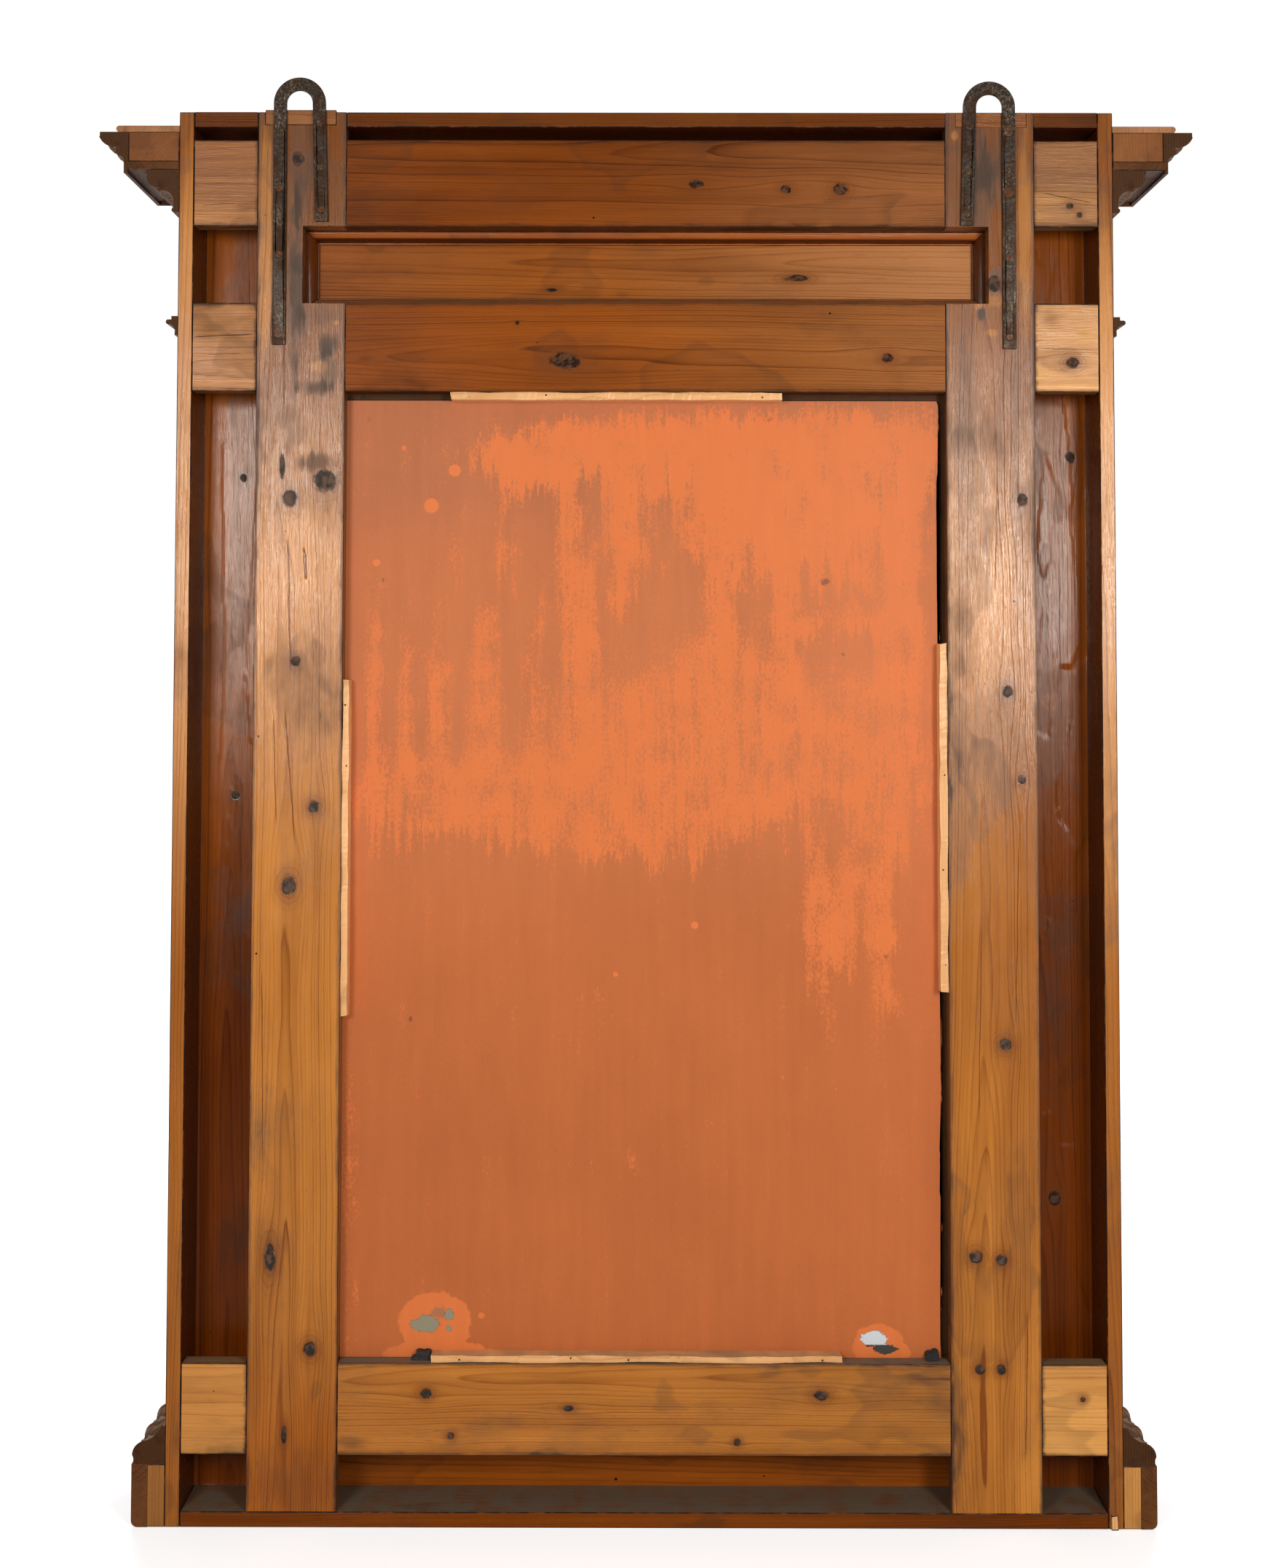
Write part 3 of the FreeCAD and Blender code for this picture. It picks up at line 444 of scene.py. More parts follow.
OLD = palette((0.62, 0.222, 0.032), (0.23, 0.056, 0.004), specular=0.70, roughness=0.25, contrast=1.02,
              grime=0.52)
SIDE = dict(OLD, early=(0.70, 0.275, 0.050), late=(0.34, 0.098, 0.010), specular=0.55)
RED = palette((0.262, 0.060, 0.005), (0.085, 0.016, 0.001), specular=0.12)
DIM_RED = palette((0.182, 0.046, 0.006), (0.065, 0.014, 0.001), specular=0.12)
WARM = palette((0.310, 0.071, 0.005), (0.105, 0.020, 0.001), specular=0.12)
APRON = dict(WARM, early=(0.43, 0.103, 0.008))
PANEL = palette((0.390, 0.106, 0.013), (0.140, 0.029, 0.002), specular=0.14)
FRESH = palette((0.69, 0.285, 0.062), (0.31, 0.096, 0.012), contrast=0.80)
PALE = palette((0.97, 0.52, 0.225), (0.70, 0.33, 0.110), grime=0.2)
TRAY_TOP = palette((0.47, 0.118, 0.016), (0.23, 0.046, 0.004))
# The colours of the tray's side pieces are darkened as painted shade.
SHADED_TRAY_SIDE = palette((0.175, 0.037, 0.002), (0.075, 0.014, 0.001))
COVER = palette((0.53, 0.25, 0.110), (0.20, 0.066, 0.018), contrast=0.7, specular=0.2)
PACKING = palette((0.30, 0.104, 0.027), (0.14, 0.037, 0.007), contrast=0.5, specular=0.2)
CAVITY = palette((0.250, 0.049, 0.002), (0.084, 0.014, 0.001))
WALNUT = palette((0.160, 0.056, 0.015), (0.045, 0.014, 0.004), specular=0.12, roughness=0.48)
PLINTH = dict(WALNUT, early=(0.215, 0.076, 0.020), late=(0.062, 0.019, 0.006))
SHOWN_SIDE = palette((0.150, 0.052, 0.017), (0.060, 0.019, 0.006), specular=0.10, roughness=0.45, grime=0.25)
FACE_STAIN = (0.120, 0.040, 0.013)
INNER_STAIN = (0.080, 0.014, 0.001)
RESIN = (0.260, 0.070, 0.014)
FRONT_FACE = {"faces": ((FRONT, FACE_STAIN),)}
# The tray top's downward faces take a near-black painted shade; its front faces take the stain.
TRAY_TOP_STAIN_AND_SHADE = ((FRONT, FACE_STAIN), (DOWN, (0.085, 0.014, 0.001)))
# Shades over a height: the colour that multiplies the wood, the height with none of it and that with all.
CAVITY_HIGH = ((1.75, 2.1, 3.4), 0.62, 1.20)
TOP_SHADE = ((0.50, 0.40, 0.36), 1.76, 1.98)
STILE_SHADE = ((0.48, 0.40, 0.34), 1.30, 1.68)
STILE_LOW = ((0.79, 0.72, 0.62), 1.26, 1.06)
STILE_FOOT = ((1.42, 1.60, 1.70), 0.80, 0.12)
SIDE_SHADE = ((0.66, 0.54, 0.38), 1.10, 0.72)
FOOT_SHADE = ((0.92, 0.72, 0.42), 0.30, 0.03)
END_SHADE = ((0.82, 0.76, 0.66), 1.60, 1.62)
PACKING_SHADE = ((0.60, 0.58, 0.56), -1.0, -0.5)

STILE_RIGHT_SMUDGES = metres(
    4,
    (507, 1955, 24, 85, 0.62), (512, 1780, 16, 140, 0.8), (461, 1695, 17, 20, 0.8),
    (479, 1634, 24, 14, 0.75), (474, 1740, 30, 18, 0.4), (480, 1524, 30, 14, 0.75), (500, 60, 80, 60, 0.3),
    (458, 1660, 20, 30, 0.45),
)
STILE_RIGHT_LIGHTS = metres(4, (558, 1840, 16, 210, 0.85), (476, 1664, 18, 10, 0.6), (452, 1729, 4, 4, 0.9))
STILE_LEFT_SMUDGES = metres(
    4,
    (-512, 1790, 20, 20, 0.85), (-490, 1900, 22, 110, 0.5), (-490, 1742, 8, 10, 0.8),
    (-448, 150, 14, 110, 0.45), (-470, 1560, 50, 30, 0.25), (-500, 1960, 30, 50, 0.4),
    (-500, 1120, 80, 90, 0.22), (-460, 1020, 20, 120, 0.22),
)
STILE_LEFT_LIGHTS = metres(
    4,
    (-555, 1860, 14, 170, 0.55), (-452, 2006, 7, 8, 0.9), (-510, 1764, 14, 12, 0.65),
    (-487, 1755, 10, 6, 0.6), (-505, 1715, 10, 6, 0.5),
)
STILE_RIGHT_KNOTS = metres(
    3,
    (510, 1971, 10, 1.2), (466, 1498, 17, 1.0), (517, 1472, 11, 1.2), (507, 1235, 8, 1.0),
    (479, 1023, 9, 1.0), (514, 910, 10, 1.4), (537, 379, 8, 2.6), (478, 250, 9, 1.2), (529, 1518, 4, 4.5),
    (514, 130, 4, 3.0),
)
STILE_LEFT_KNOTS = metres(
    3,
    (-548, 1471, 8, 1.2), (-525, 1191, 8, 1.1), (-545, 1064, 6, 1.0), (-519, 684, 9, 1.0),
    (-475, 383, 9, 1.0), (-512, 378, 8, 1.0), (-480, 224, 7, 1.0), (-510, 224, 7, 1.0),
    (-510, 1787, 10, 1.4),
)
MIDDLE_KNOTS = metres(3, (118, 1673, 14, 1.6), (-353, 1678, 7, 1.2), (187, 1729, 3, 1.0))
UPPER_KNOTS = metres(3, (-74, 1934, 7, 1.5), (-206, 1926, 7, 1.2), (-285, 1926, 10, 1.1))
BOTTOM_KNOTS = metres(
    3,
    (312, 188, 7, 1.1), (-253, 187, 7, 1.4), (108, 168, 4, 1.8), (276, 129, 5, 1.0), (-133, 121, 5, 1.0),
)
STILE_RIGHT_LINES = metres(
    5,
    (520, 1420, 514, 1210, 1.2), (538, 1160, 533, 985, 0.7), (522, 1170, 505, 960, 1),
    (496, 1400, 492, 1352, 2), (530, 1850, 527, 1600, 1.1), (552, 800, 548, 500, 0.6),
)
STILE_LEFT_LINES = metres(
    5,
    (-512, 1500, -508, 1330, 0.7), (-540, 980, -534, 700, 0.7), (-486, 860, -480, 560, 0.7),
    (-548, 320, -545, 90, 0.8),
)
END_CRACKS = metres(
    5,
    (570, 1712, 662, 1708, 0.7), (590, 1684, 640, 1682, 0.3), (-575, 1693, -655, 1690, 0.3),
    (-580, 1922, -655, 1906, 0.5), (600, 1905, 650, 1902, 0.3),
)

# The boards: palette, grain, ring centre across and in depth in millimetres, and what else sets each apart.
# A board's place in the list seeds its figure.
# On most boards the tint towards the mirror's left side is a painted sheen from the lamp on that side.
BOARD_LIST = (
    ("side_board_left", SIDE, "Z", (-655, 90),
     dict(dusty=0.3, heights=(TOP_SHADE, SIDE_SHADE), faces=((RIGHT, INNER_STAIN),))),
    ("side_board_right", SIDE, "Z", (650, 100),
     dict(dusty=0.3, heights=(TOP_SHADE, SIDE_SHADE), faces=((LEFT, INNER_STAIN),))),
    ("top_board", DIM_RED, "X", (2200, 50), dict(faces=((DOWN, INNER_STAIN),))),
    ("bottom_board", RED, "X", (-30, 100), dict(dusty=0.9)),
    ("stile_left", OLD, "Z", (-490, 85),
     dict(knots=STILE_LEFT_KNOTS, smudges=STILE_LEFT_SMUDGES, lights=STILE_LEFT_LIGHTS,
          heights=(STILE_SHADE, STILE_LOW, STILE_FOOT), cracks=STILE_LEFT_LINES, crack_colour=RESIN)),
    ("stile_right", OLD, "Z", (520, 90),
     dict(knots=STILE_RIGHT_KNOTS, smudges=STILE_RIGHT_SMUDGES, lights=STILE_RIGHT_LIGHTS,
          heights=(STILE_SHADE, FOOT_SHADE), cracks=STILE_RIGHT_LINES, crack_colour=RESIN)),
    ("upper_rail", RED, "X", (1985, 60), dict(knots=UPPER_KNOTS, painted_side_light=(1.28, 1.85, 6.0))),
    ("middle_rail", WARM, "X", (1675, 85), dict(knots=MIDDLE_KNOTS, painted_side_light=(1.36, 1.90, 5.0))),
    ("bottom_rail", OLD, "X", (205, 80),
     dict(knots=BOTTOM_KNOTS, dusty=1.0, painted_side_light=(0.84, 0.84, 0.80),
          smudges=metres(4, (-400, 215, 40, 18, 0.40), (420, 118, 30, 12, 0.45)))),
    ("upper_end_rails", FRESH, "X", (1960, 60),
     dict(heights=(TOP_SHADE,), painted_side_light=(1.10, 1.25, 1.50), cracks=END_CRACKS,
          knots=metres(3, (-621, 1902, 5, 1.2), (-635, 1889, 4, 1.0)))),
    ("middle_end_rails", FRESH, "X", (1660, 70),
     dict(painted_side_light=(1.25, 1.40, 1.60), heights=(END_SHADE,), cracks=END_CRACKS,
          smudges=metres(4, (-594, 1735, 20, 16, 0.35)), knots=metres(3, (-623, 1671, 8, 1.3)))),
    ("bottom_end_rails", FRESH, "X", (200, 60),
     dict(painted_side_light=(1.25, 1.40, 1.60), knots=metres(3, (-627, 182, 4, 1.0)))),
    ("pilaster_board_left", CAVITY, "Z", (-590, 0),
     dict(specular=0.26, roughness=0.21, relief=0.00026, heights=(CAVITY_HIGH,),
          knots=metres(3, (-639, 1543, 8, 1.1), (-608, 442, 9, 1.2)))),
    ("pilaster_board_right", CAVITY, "Z", (620, 0),
     dict(specular=0.44, roughness=0.20, relief=0.00030, heights=(CAVITY_HIGH,),
          knots=metres(3, (604, 1510, 6, 1.2), (611, 1034, 6, 1.0)))),
    ("upper_front_board", RED, "X", (1950, -80), FRONT_FACE),
    ("head_board", RED, "X", (1700, -80), FRONT_FACE),
    ("apron_board", APRON, "X", (100, -80), FRONT_FACE),
    ("frieze_panel", PANEL, "X", (1830, 30),
     dict(painted_side_light=(1.30, 1.85, 4.6), knots=metres(3, (-224, 1806, 5, 3.5), (140, 1788, 3, 3.0)))),
    ("frieze_frame_top", TRAY_TOP, "X", (1900, 0), dict(faces=TRAY_TOP_STAIN_AND_SHADE)),
    ("frieze_frame_bottom", WARM, "X", (1700, 0), dict(FRONT_FACE, dusty=0.9)),
    ("frieze_frame_left", SHADED_TRAY_SIDE, "Z", (-480, 0), FRONT_FACE),
    ("frieze_frame_right", SHADED_TRAY_SIDE, "Z", (480, 0), FRONT_FACE),
    ("stile_head_fillets", FRESH, "X", (2050, 0), dict(heights=(TOP_SHADE,))),
    ("cornice_cover_boards", COVER, "Y", (1950, 600), dict(ring=0.004, dusty=0.7)),
    ("cornice_packing_blocks", PACKING, "Y", (1930, 660), dict(ring=0.005)),
    ("plinth_packing_blocks", FRESH, "Z", (620, 30),
     dict(painted_side_light=(1.65, 1.85, 2.1), heights=(PACKING_SHADE,))),
    ("foot_shim", PALE, "Z", (0, -50), {}),
    ("glazing_strip_top", PALE, "X", (1600, 50), {}),
    ("glazing_strip_bottom", PALE, "X", (250, 50), {}),
    ("glazing_strip_left", PALE, "Z", (-400, 50), {}),
    ("glazing_strip_right", PALE, "Z", (400, 50), {}),
    ("corona_front", WALNUT, "X", (1980, 0), {}),
    ("corona_left", WALNUT, "Y", (1990, -700), {}),
    ("corona_right", WALNUT, "Y", (1990, 700), {}),
    ("plinth_facing_front", PLINTH, "X", (100, 0), {}),
    ("plinth_facing_left", PLINTH, "Y", (120, -760), {}),
    ("plinth_facing_right", PLINTH, "Y", (120, 760), {}),
)
BOARDS = {
    node: {**look, **more, "grain": grain, "pith": (centre[0] * MM, centre[1] * MM), "seed": 1.0 + index}
    for index, (node, look, grain, centre, more) in enumerate(BOARD_LIST)
}


def board_finish(node, joints=()):
    return wood(node.replace("_", " "), joints=joints, **BOARDS.pop(node))


# Metals, the dark wedges and the plate.
IRON_NOISES = (
    ((45, 45, 30), 5.0, 0.65), ((330, 330, 200), 4.0, 0.75), ((26, 26, 14), 3.0), ((130, 130, 130), 4.0, 0.6),
)
PITTED = (0.006, 0.004, 0.003)
RUST_EDGE, FLECK_EDGE, PATCH_EDGE, PIT_FADE = (0.42, 0.62), (0.50, 0.64), (0.47, 0.62), (0.40, 0.30, 0.0, 0.7)
# The bends of the hangers are more worn: from and to height, and the noise added there.
BEND_WEAR = (2.03, 2.08, 0.0, 0.06)
WORN_SHARE, RUST_ROUGH, FLECK_ROUGH, FLECK_HEIGHT, IRON_RELIEF = 0.55, 0.2, 0.4, 0.5, 0.0008


def iron(name, base, rust, pale, roughness, seed, metallic=0.75):
    """Forged iron with rust, worn bright flecks and a hammered skin."""
    finish = Finish(name, Metallic=metallic)
    point = finish.vector("ADD", finish.point, (seed, seed, seed))
    stain, flecks, patch, hammer = finish.noises(point, *IRON_NOISES)
    rusty = finish.spread(stain, *RUST_EDGE)
    bent = finish.spread(finish.place[2], *BEND_WEAR)
    worn = finish.spread(flecks, *FLECK_EDGE) * finish.spread(patch + bent, *PATCH_EDGE)
    colour = finish.mix(rusty, base, rust)
    colour = finish.mix(finish.spread(flecks, *PIT_FADE), colour, PITTED)
    colour = finish.mix(worn * WORN_SHARE, colour, pale)
    rough = rusty * RUST_ROUGH + roughness + finish.scaled(flecks, FLECK_ROUGH)
    return finish.done(colour, rough, hammer + flecks * FLECK_HEIGHT, IRON_RELIEF)


IRON = iron("hanger iron", (0.066, 0.045, 0.031), (0.060, 0.026, 0.012), (0.36, 0.29, 0.20), 0.36, 1.0)
SCREW = iron("screw steel", (0.085, 0.048, 0.027), (0.150, 0.048, 0.014), (0.42, 0.34, 0.24), 0.36, 4.0)
WEDGE = iron("dark wedge", (0.040, 0.037, 0.034), (0.022, 0.020, 0.018), (0.080, 0.074, 0.068), 0.80, 9.0,
             metallic=0.0)

PAINT_DULL = (0.524, 0.136, 0.036)
PAINT_DULL_MID = (0.565, 0.160, 0.052)
PAINT_DULL_HIGH = (0.495, 0.152, 0.056)
PAINT_BRIGHT = (0.765, 0.190, 0.048)
PAINT_DRIP = (0.68, 0.168, 0.042)
PAINT_SMEAR = (0.30, 0.095, 0.040)
PAINT_GRIT = (0.20, 0.065, 0.030)
PAINT_MARK = (0.12, 0.05, 0.03)
# Where the old wash has run off the bright paint: x, z, half width, half height and strength.
WASHED = metres(
    4,
    (-130, 1545, 315, 50, 0.62), (175, 1530, 60, 30, 0.42), (-170, 1450, 120, 90, 0.5),
    (-300, 1455, 60, 110, 0.36), (-395, 1480, 30, 120, 0.3), (112, 1430, 20, 120, 0.42),
    (30, 1420, 30, 110, 0.42), (205, 1425, 16, 80, 0.3), (-110, 1320, 22, 110, 0.32),
    (-210, 1330, 20, 130, 0.3), (-375, 1300, 26, 150, 0.34), (-300, 1295, 100, 18, 0.3),
    (395, 1190, 16, 140, 0.4), (350, 1170, 14, 130, 0.34), (305, 1170, 18, 130, 0.38),
    (235, 1190, 26, 130, 0.38), (160, 1200, 20, 120, 0.3), (90, 1200, 34, 130, 0.36),
    (-130, 1130, 110, 120, 0.62), (-10, 1090, 90, 100, 0.46), (100, 1030, 120, 70, 0.42),
    (290, 1030, 150, 50, 0.44), (-300, 1090, 70, 120, 0.3), (-375, 1120, 40, 170, 0.34),
    (0, 985, 120, 34, 0.32), (-250, 850, 20, 100, 0.42), (-300, 870, 30, 75, 0.42),
    (-350, 840, 18, 110, 0.4), (428, 480, 10, 260, 0.22), (-270, 730, 14, 80, 0.24),
    (80, 1310, 10, 90, 0.3), (280, 1400, 10, 40, 0.22),
)
# Round spots of bright paint, and dark marks: x, z and radius.
SPOTS = metres(
    3,
    (280, 1515, 10), (314, 1463, 12), (394, 1379, 6), (-73, 851, 6), (42, 780, 4), (235, 290, 5),
    (355, 1548, 4),
)
DARK_MARKS = metres(
    3,
    (296.2, 291.1, 3), (-440, 1560, 10), (405, 1590, 7), (-290, 1245, 6), (-351, 806, 7), (341, 715, 4),
    (128, 527, 3), (385, 1355, 6), (-56, 1122, 4), (-265, 1352, 10), (-182, 1590, 8), (112, 1207, 4),
)
# Ellipses that together make the worn places near the lower corners: x, z, half width and half height.
HALOS = metres(
    4,
    (302, 280, 55, 46), (297, 236, 82, 20), (245, 232, 120, 10), (-338, 250, 39, 31), (-362, 238, 23, 18),
)
BARE = metres(
    4,
    (317, 278, 21.5, 12.5), (281.3, 291, 7.8, 9.5), (281.8, 272, 5, 5.5), (-331, 258.5, 19, 12),
    (-347, 243.5, 18, 7.5),
)
THIN = (0.295, 0.294, 0.0130, 0.0100)
THIN_COLOUR = (0.36, 0.165, 0.085)
BARE_GLASS = (0.30, 0.265, 0.175)
BARE_SILVER = (0.66, 0.70, 0.70)
BARE_SHADE = (0.070, 0.062, 0.054)
SHADE_LINE = 0.2497
PAINT_NOISES = (
    ((62, 1, 5.0), 3.0, 0.55), ((170, 1, 14), 3.0, 0.60), ((24, 1, 17), 6.0, 0.62),
    ((270, 1, 170), 4.0, 0.66), ((420, 1, 330), 3.0, 0.7), ((60, 1, 60), 5.0, 0.62),
    ((5, 1, 3), 4.0, 0.6), ((520, 1, 400), 2.0, 0.6), ((25, 1, 5), 5.0, 0.7),
)
# How far the noises push the washed places about, and how much each counts in the wash.
WARP_CLOUDS, WARP_DRIPS, WARP_STREAKS = 0.030, 0.090, 0.080
WASH_START, WASH_FALL, WASH_LIMIT = -0.27, -0.60, (1.15, 1.50, 0.125, 0.27)
WASH_DRIPS, WASH_STREAKS, WASH_MOTTLE, WASH_CLOUDS = 0.62, 0.42, 1.00, 0.86
RUN_FADE, BRIGHT_EDGE, BRIGHT_CLOUDS = (1.51, 1.57, 1.0, 0.40), (-0.11, 0.20), (0.3, 0.6, 0.84, 1.0)
# How far the noises fray the edges of marks, where those edges fade, and the strengths there.
SPOT_FRAY, SPOT_EDGE = 0.006, (0.75, 1.05)
MARK_FRAY, MARK_EDGE, MARK_SHARE = 0.026, (0.15, 0.75), 0.62
HALOS_FRAY, HALOS_EDGE = 0.5, (0.90, 1.0)
BARE_FRAY, BARE_MOTTLE, BARE_EDGE = 1.9, 0.8, (0.88, 0.96)
THIN_EDGE, THIN_SHARE = (0.6, 1.1), 0.8
DRIP_FADE, SPECK_FADE = (0.3, 0.7, 0.0, 0.40), (0.71, 0.76, 0.0, 0.6)
SMEAR_FADE, GRIT_FADE = (0.62, 0.85, 0.0, 0.22), (0.67, 0.78, 0.0, 0.40)
# Heights and sides over which the dull paint changes, and the noises in its brightness.
DULL_RISE, DULL_TOP, GLASS_SIDE = (0.78, 1.08), (1.36, 1.52), (-0.1, 0.1)
LEVEL_BROAD, LEVEL_DRIPS, LEVEL_MOTTLE, LEVEL_LEFT = 0.40, 0.16, 0.14, (-0.15, -0.42, 0.0, 0.07)
PAINT_ROUGH, BRIGHT_ROUGH, BARE_ROUGH = 0.52, -0.06, -0.35
BRIGHT_HEIGHT, BARE_HEIGHT, PAINT_RELIEF = -0.5, -3.0, 0.0002


def painted_back():
    """The painted back of the plate: a dull wash that has run off in drips over brighter paint."""
    finish = Finish("painted back", Specular_IOR_Level=0.20)
    x, _, z = finish.place
    flat = finish.join(x, 0.0, z)
    drips, streaks, clouds, mottle, grit, torn, broad, specks, smear = finish.noises(flat, *PAINT_NOISES)

    def disc(spot, fray, edge, strength):
        spot_x, spot_z, radius = spot
        gap = finish.vector("DISTANCE", flat, (spot_x, 0.0, spot_z)) + fray
        return finish.spread(gap, edge[0] * radius, edge[1] * radius, strength, 0.0)

    def patch(spot, fray, edge):
        return finish.spread(finish.reach(flat, *spot) + fray, *edge, 1.0, 0.0)

    run_down = finish.scaled(drips, WARP_DRIPS) + finish.scaled(streaks, WARP_STREAKS)
    warped = finish.join(x + finish.scaled(clouds, WARP_CLOUDS), 0.0, z + run_down)
    washed = WASH_START
    for *place, strength in WASHED:
        near = finish.math("EXPONENT", finish.reach(warped, *place) ** 3.0 * WASH_FALL)
        washed = near * strength + washed
    washed = finish.math("MINIMUM", washed, finish.spread(z, *WASH_LIMIT))
    runs = finish.scaled(drips, WASH_DRIPS) + finish.scaled(streaks, WASH_STREAKS)
    washed = washed + runs * finish.spread(z, *RUN_FADE)
    washed = washed + finish.scaled(mottle, WASH_MOTTLE) + finish.scaled(clouds, WASH_CLOUDS)
    bright = finish.spread(washed, *BRIGHT_EDGE) * finish.spread(clouds, *BRIGHT_CLOUDS)
    for spot in SPOTS:
        bright = finish.largest(bright, disc(spot, finish.scaled(grit, SPOT_FRAY), SPOT_EDGE, 1.0))
    for spot in HALOS:
        bright = finish.largest(bright, patch(spot, finish.scaled(torn, HALOS_FRAY), HALOS_EDGE))
    frayed = finish.scaled(torn, BARE_FRAY) + finish.scaled(mottle, BARE_MOTTLE)
    bare = 0.0
    for spot in BARE:
        bare = finish.largest(bare, patch(spot, frayed, BARE_EDGE))

    dull = finish.mix(finish.spread(z, *DULL_RISE), PAINT_DULL, PAINT_DULL_MID)
    dull = finish.mix(finish.spread(z, *DULL_TOP), dull, PAINT_DULL_HIGH)
    level = finish.scaled(broad, LEVEL_BROAD) + 1.0 + finish.scaled(drips, LEVEL_DRIPS)
    level = level + finish.scaled(mottle, LEVEL_MOTTLE) + finish.spread(x, *LEVEL_LEFT)
    dull = finish.mix(1.0, dull, level, "MULTIPLY")
    lively = finish.mix(finish.spread(drips, *DRIP_FADE), PAINT_BRIGHT, PAINT_DRIP)
    colour = finish.mix(finish.largest(bright, finish.spread(specks, *SPECK_FADE)), dull, lively)
    colour = finish.mix(finish.spread(smear, *SMEAR_FADE), colour, PAINT_SMEAR)
    colour = finish.mix(finish.spread(grit, *GRIT_FADE), colour, PAINT_GRIT)
    for spot in DARK_MARKS:
        mark = disc(spot, finish.scaled(torn, MARK_FRAY), MARK_EDGE, MARK_SHARE)
        colour = finish.mix(mark, colour, PAINT_MARK)
    colour = finish.mix(patch(THIN, frayed, THIN_EDGE) * THIN_SHARE, colour, THIN_COLOUR)
    silver = finish.mix(finish.math("LESS_THAN", z, SHADE_LINE), BARE_SILVER, BARE_SHADE)
    colour = finish.mix(bare, colour, finish.mix(finish.spread(x, *GLASS_SIDE), silver, BARE_GLASS))
    rough = bright * BRIGHT_ROUGH + PAINT_ROUGH + bare * BARE_ROUGH
    return finish.done(colour, rough, mottle + bright * BRIGHT_HEIGHT + bare * BARE_HEIGHT, PAINT_RELIEF)


SILVER, FOXED = (0.86, 0.87, 0.86), (0.22, 0.20, 0.17)
FOX_NOISE, FOX_EDGE, FOX_HEIGHTS = ((60, 60, 60), 5.0, 0.7), (0.62, 0.72), (0.02, 0.16)
SILVER_ROUGH, FOX_ROUGH = 0.015, 0.4


def silvered_face():
    """The looking side of the plate: silvering with a little age along its lower edge."""
    finish = Finish("silvered face", Metallic=1.0)
    fox = finish.noise(finish.point, *FOX_NOISE)
    low = finish.spread(finish.place[2], *(PLATE_LOW.z + height for height in FOX_HEIGHTS), 1.0, 0.0)
    spots = finish.spread(fox, *FOX_EDGE) * low
    return finish.done(finish.mix(spots, SILVER, FOXED), spots * FOX_ROUGH + SILVER_ROUGH)


GLASS_DARK, GLASS_LIGHT = (0.05, 0.09, 0.07), (0.14, 0.18, 0.15)
GLASS_NOISE, GLASS_ROUGH = ((300, 300, 300), 3.0), 0.25


def glass_edge():
    """The greenish cut edge of the glass."""
    finish = Finish("glass edge")
    chips = finish.noise(finish.point, *GLASS_NOISE)
    return finish.done(finish.mix(chips, GLASS_DARK, GLASS_LIGHT), GLASS_ROUGH)


# Carved mouldings. An outline is (out, up, bulge, motif, from, to) in millimetres, motif being the carving on
# the edge that follows the point, and from and to the share of the motif's height that the edge covers.
HALF, FULL, QUARTER, SHALLOW = (math.tan(math.radians(turn) / 4) for turn in (180, 148, 84, 56))
PLAIN = (0, None, 0, 0)
OUTLINES = {
    "crown": (
        (75, 1967, *PLAIN), (81.6, 1967, QUARTER, None, 0, 0), (88.5, 1975.5, -FULL, "pearl", 0, 1),
        (88.5, 1987.5, *PLAIN), (91, 1990, -QUARTER, "acanthus", 0, 1), (117, 2005, *PLAIN),
        (117, 2010.5, *PLAIN), (75, 2010.5, *PLAIN),
    ),
    "bed": (
        (0, 1891.6, *PLAIN), (8, 1891.6, -FULL, "pearl", 0, 1), (8, 1898.6, *PLAIN),
        (8, 1909, QUARTER, "tongue", 0, 1), (29, 1923, *PLAIN), (29, 1926, -QUARTER, "egg", 0, 1),
        (49, 1948.6, *PLAIN), (49, 1954.6, *PLAIN), (0, 1954.6, *PLAIN),
    ),
    "string": (
        (0, 1710.4, *PLAIN), (4, 1710.4, *PLAIN), (4, 1714.4, QUARTER, "tongue", 0, 1),
        (14.5, 1726.4, -FULL, "pearl", 0, 1), (14.5, 1733.4, *PLAIN), (9, 1733.4, *PLAIN),
        (9, 1738.4, *PLAIN), (0, 1738.4, *PLAIN),
    ),
    "base": (
        (0, 88.5, *PLAIN), (45, 88.5, *PLAIN), (45, 101.5, -QUARTER, "acanthus", 1, 0.5),
        (28, 119.5, SHALLOW, "acanthus", 0.5, 0), (3, 142.5, *PLAIN), (0, 142.5, *PLAIN),
    ),
    "sight": (
        (0, 31, *PLAIN), (14, 31, *PLAIN), (14, 25, *PLAIN), (77, 25, *PLAIN), (77, 122, *PLAIN),
        (68, 122, *PLAIN), (68, 118, -QUARTER, "leaf", 0, 0.5), (44, 83, QUARTER, "leaf", 0.5, 1),
        (20, 48, *PLAIN), (16, 48, *PLAIN), (16, 44, -HALF, "pearl", 0, 1), (4, 44, *PLAIN), (0, 44, *PLAIN),
    ),
}
# The motifs' width along the moulding and depth of cut, by moulding.
MOTIFS = {
    "crown": {"pearl": (0.0120, 0.0040), "acanthus": (0.0456, 0.0050)},
    "bed": {"pearl": (0.0076, 0.0022), "tongue": (0.0171, 0.0026), "egg": (0.0342, 0.0060)},
    "string": {"tongue": (0.0171, 0.0024), "pearl": (0.0076, 0.0022)},
    "base": {"acanthus": (0.0684, 0.0075)},
    "sight": {"leaf": (0.0570, 0.0065), "pearl": (0.0130, 0.0040)},
}


def smooth(value, low, high):
    share = np.clip((value - low) / (high - low), 0.0, 1.0)
    return share * share * (3 - 2 * share)


